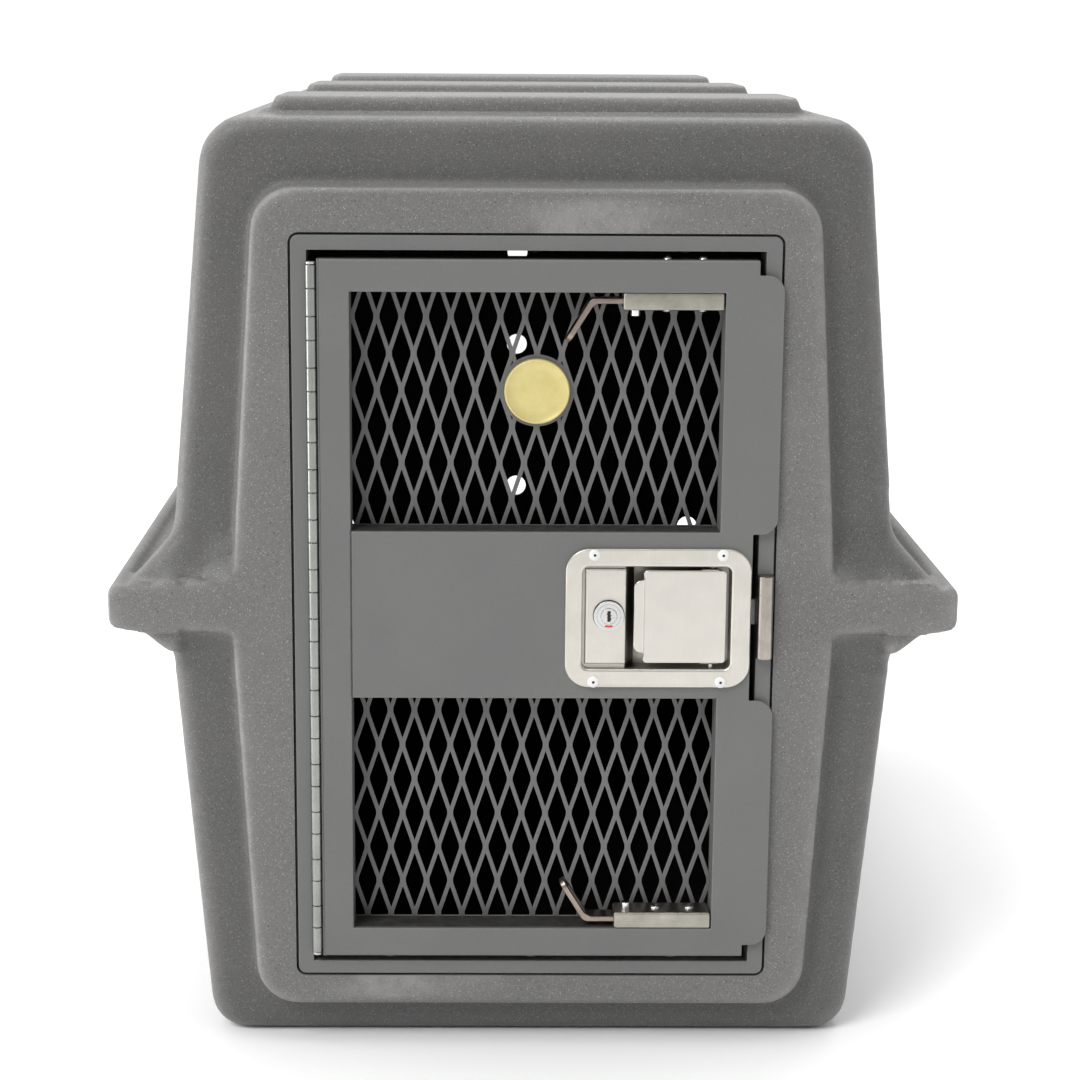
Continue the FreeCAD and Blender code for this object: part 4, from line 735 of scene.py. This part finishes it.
def make_shell():
    skin = shell_skin()
    for look in (LOOKS["shell"], CABIN_SHADE):
        skin.data.materials.append(look)
    cut_shell(skin)
    set_smooth(skin)
    settle(skin, "body_shell", LOOKS["shell"], CABIN_SHADE)
    paint_shell(skin)
    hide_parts("body_shell")


def turned(name, profile, at, axis, sides=32):
    """A closed turned shape. profile holds (radius, distance along axis) pairs in millimetres."""
    shape = bmesh.new()
    turn = Vector(axis).to_track_quat("Z", "Y").to_matrix().to_4x4()
    place = Matrix.Translation(Vector(at) * MM) @ turn
    rings = []
    for radius, along in profile:
        if radius == 0:
            rings.append([shape.verts.new(place @ Vector((0, 0, along * MM)))])
            continue
        angles = [2 * math.pi * i / sides for i in range(sides)]
        points = [Vector((radius * math.cos(a), radius * math.sin(a), along)) * MM for a in angles]
        rings.append([shape.verts.new(place @ point) for point in points])
    for low, high in zip(rings, rings[1:]):
        for i in range(sides):
            j = (i + 1) % sides
            corners = [low[i % len(low)], low[j % len(low)], high[j % len(high)], high[i % len(high)]]
            shape.faces.new(list(dict.fromkeys(corners)))
    bmesh.ops.recalc_face_normals(shape, faces=shape.faces)
    return from_bmesh(name, shape)


def joined(name, pieces):
    """One object from several, each face keeping its place in the list as its material's index."""
    shape = bmesh.new()
    for index, piece in pieces:
        before = len(shape.faces)
        shape.from_mesh(piece.data)
        shape.faces.ensure_lookup_table()
        for face in shape.faces[before:]:
            face.material_index = index
        mesh = piece.data
        bpy.data.objects.remove(piece)
        bpy.data.meshes.remove(mesh)
    return from_bmesh(name, shape)


def blind_rivet(at, axis, head, rise, shank, length):
    """A blind rivet: a domed head with a sunk core, whose plug is black as a painted shadow, and its shank
    behind.
    """
    core, sunk, tip = 0.24 * head, 0.35 * rise, -length - 0.6
    body = [(0, sunk), (core, sunk), (core, rise * 0.93)]
    body += [(head * math.sin(t), rise * math.cos(t) ** 0.8) for t in (0.45, 0.75, 1.05, 1.3)]
    body += [(head, rise * 0.12), (head * 0.97, 0.0), (shank, 0.0), (shank, -length)]
    body += [(shank * 0.5, tip), (0, tip)]
    plug = [(0, rise * 0.8), (core * 0.97, rise * 0.8), (core * 0.97, 0.1), (0, 0.1)]
    return [(0, turned("rivet", body, at, axis)), (1, turned("core", plug, at, axis))]


def rivet_group(name, node, parts, look):
    """One piece from the rivets of a node, with painted shadow in their cores."""
    rivets = joined(name, parts)
    set_smooth(rivets, 50)
    settle(rivets, node, look, SHADOW_BLACK)
    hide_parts(node)


def make_latch_rivets():
    head, rise, shank, length = 4.5, 2.0, 2.4, 6.0
    low, high = [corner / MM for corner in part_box("latch_rivets")]
    places = [(x, low.y + rise, z) for x in (low.x + head, high.x - head) for z in LATCH_RIVET_LEVELS]
    parts = [part for at in places for part in blind_rivet(at, (0, -1, 0), head, rise, shank, length)]
    rivet_group("latch_blind_rivets", "latch_rivets", parts, RIVET_WHITE)


def make_slide_rivets(level, sign):
    """The two rivets through a slide's housing: heads where sign points, caps on the other side."""
    node = f"{level}_slide_screws"
    head, rise, shank = 3.8, 2.4, 2.2
    low, high = [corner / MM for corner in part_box(node)]
    near, far = (high.z, low.z) if sign > 0 else (low.z, high.z)
    length = abs(far - near) - 2 * rise
    cap = [(0, rise), (head * 0.5, rise * 0.9), (head * 0.85, rise * 0.5)]
    cap += [(head, 0.1), (head * 0.9, 0), (0, 0)]
    y, z = (low.y + high.y) / 2, near - sign * rise
    parts = []
    for x in (low.x + head, high.x - head):
        parts += blind_rivet((x, y, z), (0, 0, sign), head, rise, shank, length)
        parts.append((0, turned("cap", cap, (x, y, z - sign * length), (0, 0, -sign))))
    rivet_group(f"{level}_slide_rivets", node, parts, LOOKS["bright_metal"])


def make_badge():
    """A plain round badge with a raised rim and a soft dome inside it."""
    low, high = [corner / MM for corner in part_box("badge_disc")]
    radius, thick = (high.x - low.x) / 2, high.y - low.y
    at = ((low.x + high.x) / 2, high.y, (low.z + high.z) / 2)
    dome = [(0, thick - 0.4), (radius * 0.6, thick - 0.5), (radius - 2.2, thick - 0.75)]
    rim = [(radius - 1.7, thick - 0.2), (radius - 1.1, thick), (radius - 0.5, thick - 0.12)]
    side = [(radius, thick - 0.6), (radius, 0.35), (radius - 0.3, 0), (0, 0)]
    badge = turned("badge_face", dome + rim + side, at, (0, -1, 0), 96)
    set_smooth(badge, 50)
    settle(badge, "badge_disc")
    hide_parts("badge_disc")


def add_plate(name, outline, front, back, node, look):
    """A thin flat piece over an outline of (x, z) points, which rides with a node."""
    shape = bmesh.new()
    add_prism(shape, outline, front, back)
    settle(from_bmesh(name, shape), node, look)


def add_ring(name, at, inner, outer, look):
    """A thin flat ring just in front of the lock's barrel, or of the pad that it stands in."""
    proud, deep = 0.06, -0.4
    section = [(inner, proud), (outer, proud), (outer, deep), (inner, deep), (inner, proud)]
    settle(turned(name, section, at, (0, -1, 0), 64), "lock_barrel", look)


def make_lock_details():
    """A keyway as a black wavy painted shadow, a red mark under it on the barrel's face, and the rings
    round both, the outer one a painted shadow.
    """
    low, high = [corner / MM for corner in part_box("lock_plug")]
    x, z = (low.x + high.x) / 2, (low.z + high.z) / 2
    wave = ((-0.5, 3.9), (0.5, 3.9), (0.75, 2.6), (0.25, 1.6), (1.0, 0.6), (0.45, -0.6), (1.0, -1.6),
            (0.5, -3.9), (-0.3, -3.9), (-0.1, -2.0), (-0.75, -1.0), (-0.3, 0.4), (-0.9, 1.6), (-0.5, 2.6))
    # The keyway is a black plate: a painted shadow of the slot.
    add_plate("keyway", [(x + 2.0 * a, z + 1.05 * b) for a, b in wave], low.y - 0.06, low.y + 1.5,
              "lock_plug", SHADOW_BLACK)
    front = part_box("lock_barrel")[0].y / MM
    inner, outer = 7.2, 8.6
    sweep = np.linspace(-0.36, 0.36, 9)
    arc = [(x + outer * math.sin(t), z - outer * math.cos(t)) for t in sweep]
    arc += [(x + inner * math.sin(t), z - inner * math.cos(t)) for t in sweep[::-1]]
    add_plate("lock_mark", arc, front - 0.12, front + 0.3, "lock_barrel", RED)
    pad_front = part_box("latch_housing")[0].y / MM + 1.5
    # A black ring round the barrel: a painted shadow of the gap between barrel and pad.
    add_ring("lock_outline", (x, pad_front, z), 11.3, 12.0, SHADOW_BLACK)
    add_ring("lock_groove", (x, front, z), 8.9, 9.3, LOOKS["zinc"])


def coil(name, start, end, radius, wire, turns, steps=18, sides=8):
    """A close helix of round wire between two points, in millimetres."""
    start, end = Vector(start), Vector(end)
    ahead = (end - start).normalized()
    side = ahead.orthogonal().normalized()
    up = ahead.cross(side)
    shape = bmesh.new()
    rings = []
    count = int(turns * steps)
    for i in range(count + 1):
        angle = 2 * math.pi * i / steps
        out = math.cos(angle) * side + math.sin(angle) * up
        middle = start.lerp(end, i / count) + radius * out
        rings.append([shape.verts.new((middle + wire * (math.cos(a) * out + math.sin(a) * ahead)) * MM)
                      for a in (2 * math.pi * k / sides for k in range(sides))])
    for low, high in zip(rings, rings[1:]):
        for k in range(sides):
            n = (k + 1) % sides
            shape.faces.new((low[k], low[n], high[n], high[k]))
    shape.faces.new(rings[0][::-1])
    shape.faces.new(rings[-1])
    bmesh.ops.recalc_face_normals(shape, faces=shape.faces)
    return from_bmesh(name, shape)


def make_spring():
    """The bolt's spring as a close coil at rest; its squashing as the bolt is drawn is not made here."""
    low, high = [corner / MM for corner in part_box("bolt_spring")]
    wire, turns, left_when_drawn = 0.5, 9, 0.42
    y, z = (low.y + high.y) / 2, (low.z + high.z) / 2
    radius = (high.z - low.z) / 2 - wire
    spring = coil("bolt_spring_coil", (low.x + wire, y, z), (high.x - wire, y, z), radius, wire, turns)
    set_smooth(spring, 60)
    settle(spring, "bolt_spring")
    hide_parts("bolt_spring")
    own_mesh(spring)


# How far each piece's edges are eased, and its look and its folds where it has its own.
EDGES = {
    "door_frame": 0.7, "door_skin": 0.8, "mesh_upper": 0.35, "mesh_lower": 0.35, "latch_housing": 0.3,
    "paddle": 0.85, "strike_plate": 0.4, "door_hinge_leaf": 0.3, "frame_hinge_leaf": 0.3,
    "upper_slide_housing": 1.6, "lower_slide_housing": 1.6, "upper_slide_bar": 0.6, "lower_slide_bar": 0.6,
    "latch_bracket": 0.4, "latch_bolt": 0.5, "lock_barrel": 0.3, "lock_plug": 0.25, "lock_nut": 0.3,
    "lock_cam": 0.3, "drain_plug": 0.6, "hinge_pin": 0.4, "paddle_pin": 0.3,
    "upper_stop_pin": 0.4, "lower_stop_pin": 0.4,
}
OWN_LOOKS = {
    "upper_slide_housing": SLIDE_STEEL, "lower_slide_housing": SLIDE_STEEL,
    "upper_slide_bar": LEVER_STEEL, "lower_slide_bar": LEVER_STEEL,
    "latch_housing": LATCH_STEEL, "strike_plate": STRIKE_STEEL,
}
FOLDS = {"door_skin": door_bends, "upper_slide_bar": lever_bends, "lower_slide_bar": lever_bends}
LEFT_AS_CAD = ("frame_screws", "threaded_inserts", "frame_leaf_rivets", "door_leaf_rivets", "badge_screw",
               "strike_rivets", "paddle_spring")


def make_hard_parts():
    for node, width in EDGES.items():
        eased(node, width, OWN_LOOKS.get(node), FOLDS.get(node))
    for node in LEFT_AS_CAD:
        source = frame["nodes"][node]
        source.data.materials[0] = LOOKS[source.data.materials[0].name]


# ---- camera, light and floor ----

LENS, SENSOR, SHIFT = 80.56, 36.0, 0.037
CAMERA_AT = (-42.0, -2221.0, 783.1)
YAW, TILT, ROLL = -0.0092, 0.2102, 0.0055        # radians
SKY_DARK, SKY_BRIGHT = 0.24, 1.02                # towards the front and the rear
# (name, kind, power, the sun's angle or the panel's size in metres, place in metres)
LIGHTS = (("key", "SUN", 1.7, 0.5, (-1.2, -1.5, 2.2)),
          ("top", "AREA", 42.0, 2.2, (0.1, 0.3, 2.4)),
          ("left", "AREA", 24.0, 1.4, (-2.0, -0.35, 0.2)))
LIT_POINT = (0, 0, 0.35)


def make_camera():
    level = Vector((math.cos(YAW), math.sin(YAW), 0))
    ahead = Vector((-math.sin(YAW) * math.cos(TILT), math.cos(YAW) * math.cos(TILT), -math.sin(TILT)))
    right = math.cos(ROLL) * level + math.sin(ROLL) * level.cross(ahead)
    up = right.cross(ahead)
    data = bpy.data.cameras.new("camera")
    data.lens, data.sensor_width, data.shift_x = LENS, SENSOR, SHIFT
    data.clip_start, data.clip_end = 0.05, 60.0
    made = bpy.data.objects.new("camera", data)
    bpy.context.scene.collection.objects.link(made)
    turn = Matrix((right, up, -ahead)).transposed().to_4x4()
    made.matrix_world = Matrix.Translation(Vector(CAMERA_AT) * MM) @ turn
    bpy.context.scene.camera = made


def make_sky():
    """A white studio, darker towards the front."""
    world = bpy.data.worlds.new("studio")
    world.use_nodes = True
    nodes, links = world.node_tree.nodes, world.node_tree.links
    direction = nodes.new("ShaderNodeTexCoord").outputs["Generated"]
    split = nodes.new("ShaderNodeSeparateXYZ")
    links.new(direction, split.inputs[0])
    depth = nodes.new("ShaderNodeMapRange")
    ramp = {"From Min": -0.9, "From Max": 0.3, "To Min": SKY_DARK, "To Max": SKY_BRIGHT}
    for socket, value in ramp.items():
        depth.inputs[socket].default_value = value
    links.new(split.outputs["Y"], depth.inputs["Value"])
    links.new(depth.outputs["Result"], nodes["Background"].inputs["Strength"])
    nodes["Background"].inputs["Color"].default_value = (1, 1, 1, 1)
    bpy.context.scene.world = world


def make_lights():
    for name, kind, power, size, place in LIGHTS:
        data = bpy.data.lights.new(name, kind)
        data.energy = power
        if kind == "SUN":
            data.angle = size
        else:
            data.size = size
        made = bpy.data.objects.new(name, data)
        bpy.context.scene.collection.objects.link(made)
        made.location = place
        made.rotation_mode = "QUATERNION"
        made.rotation_quaternion = (Vector(LIT_POINT) - Vector(place)).to_track_quat("-Z", "Y")


def make_floor():
    shape = bmesh.new()
    bmesh.ops.create_grid(shape, x_segments=2, y_segments=2, size=80.0)
    floor = from_bmesh("floor", shape)
    look = Look("pale_floor", roughness=0.8)
    shade = look.remap(look.noise(500, 2), 0.3, 0.7, 0, 1)
    look.plug("Base Color", look.mix(shade, grey(0.93), grey(0.95)))
    floor.data.materials.append(look.material)


make_camera()
make_sky()
make_lights()
make_floor()
make_shell()
make_hard_parts()
make_latch_rivets()
make_slide_rivets("upper", -1)
make_slide_rivets("lower", 1)
make_badge()
make_lock_details()
make_spring()
bpy.context.scene.view_settings.view_transform = "Standard"
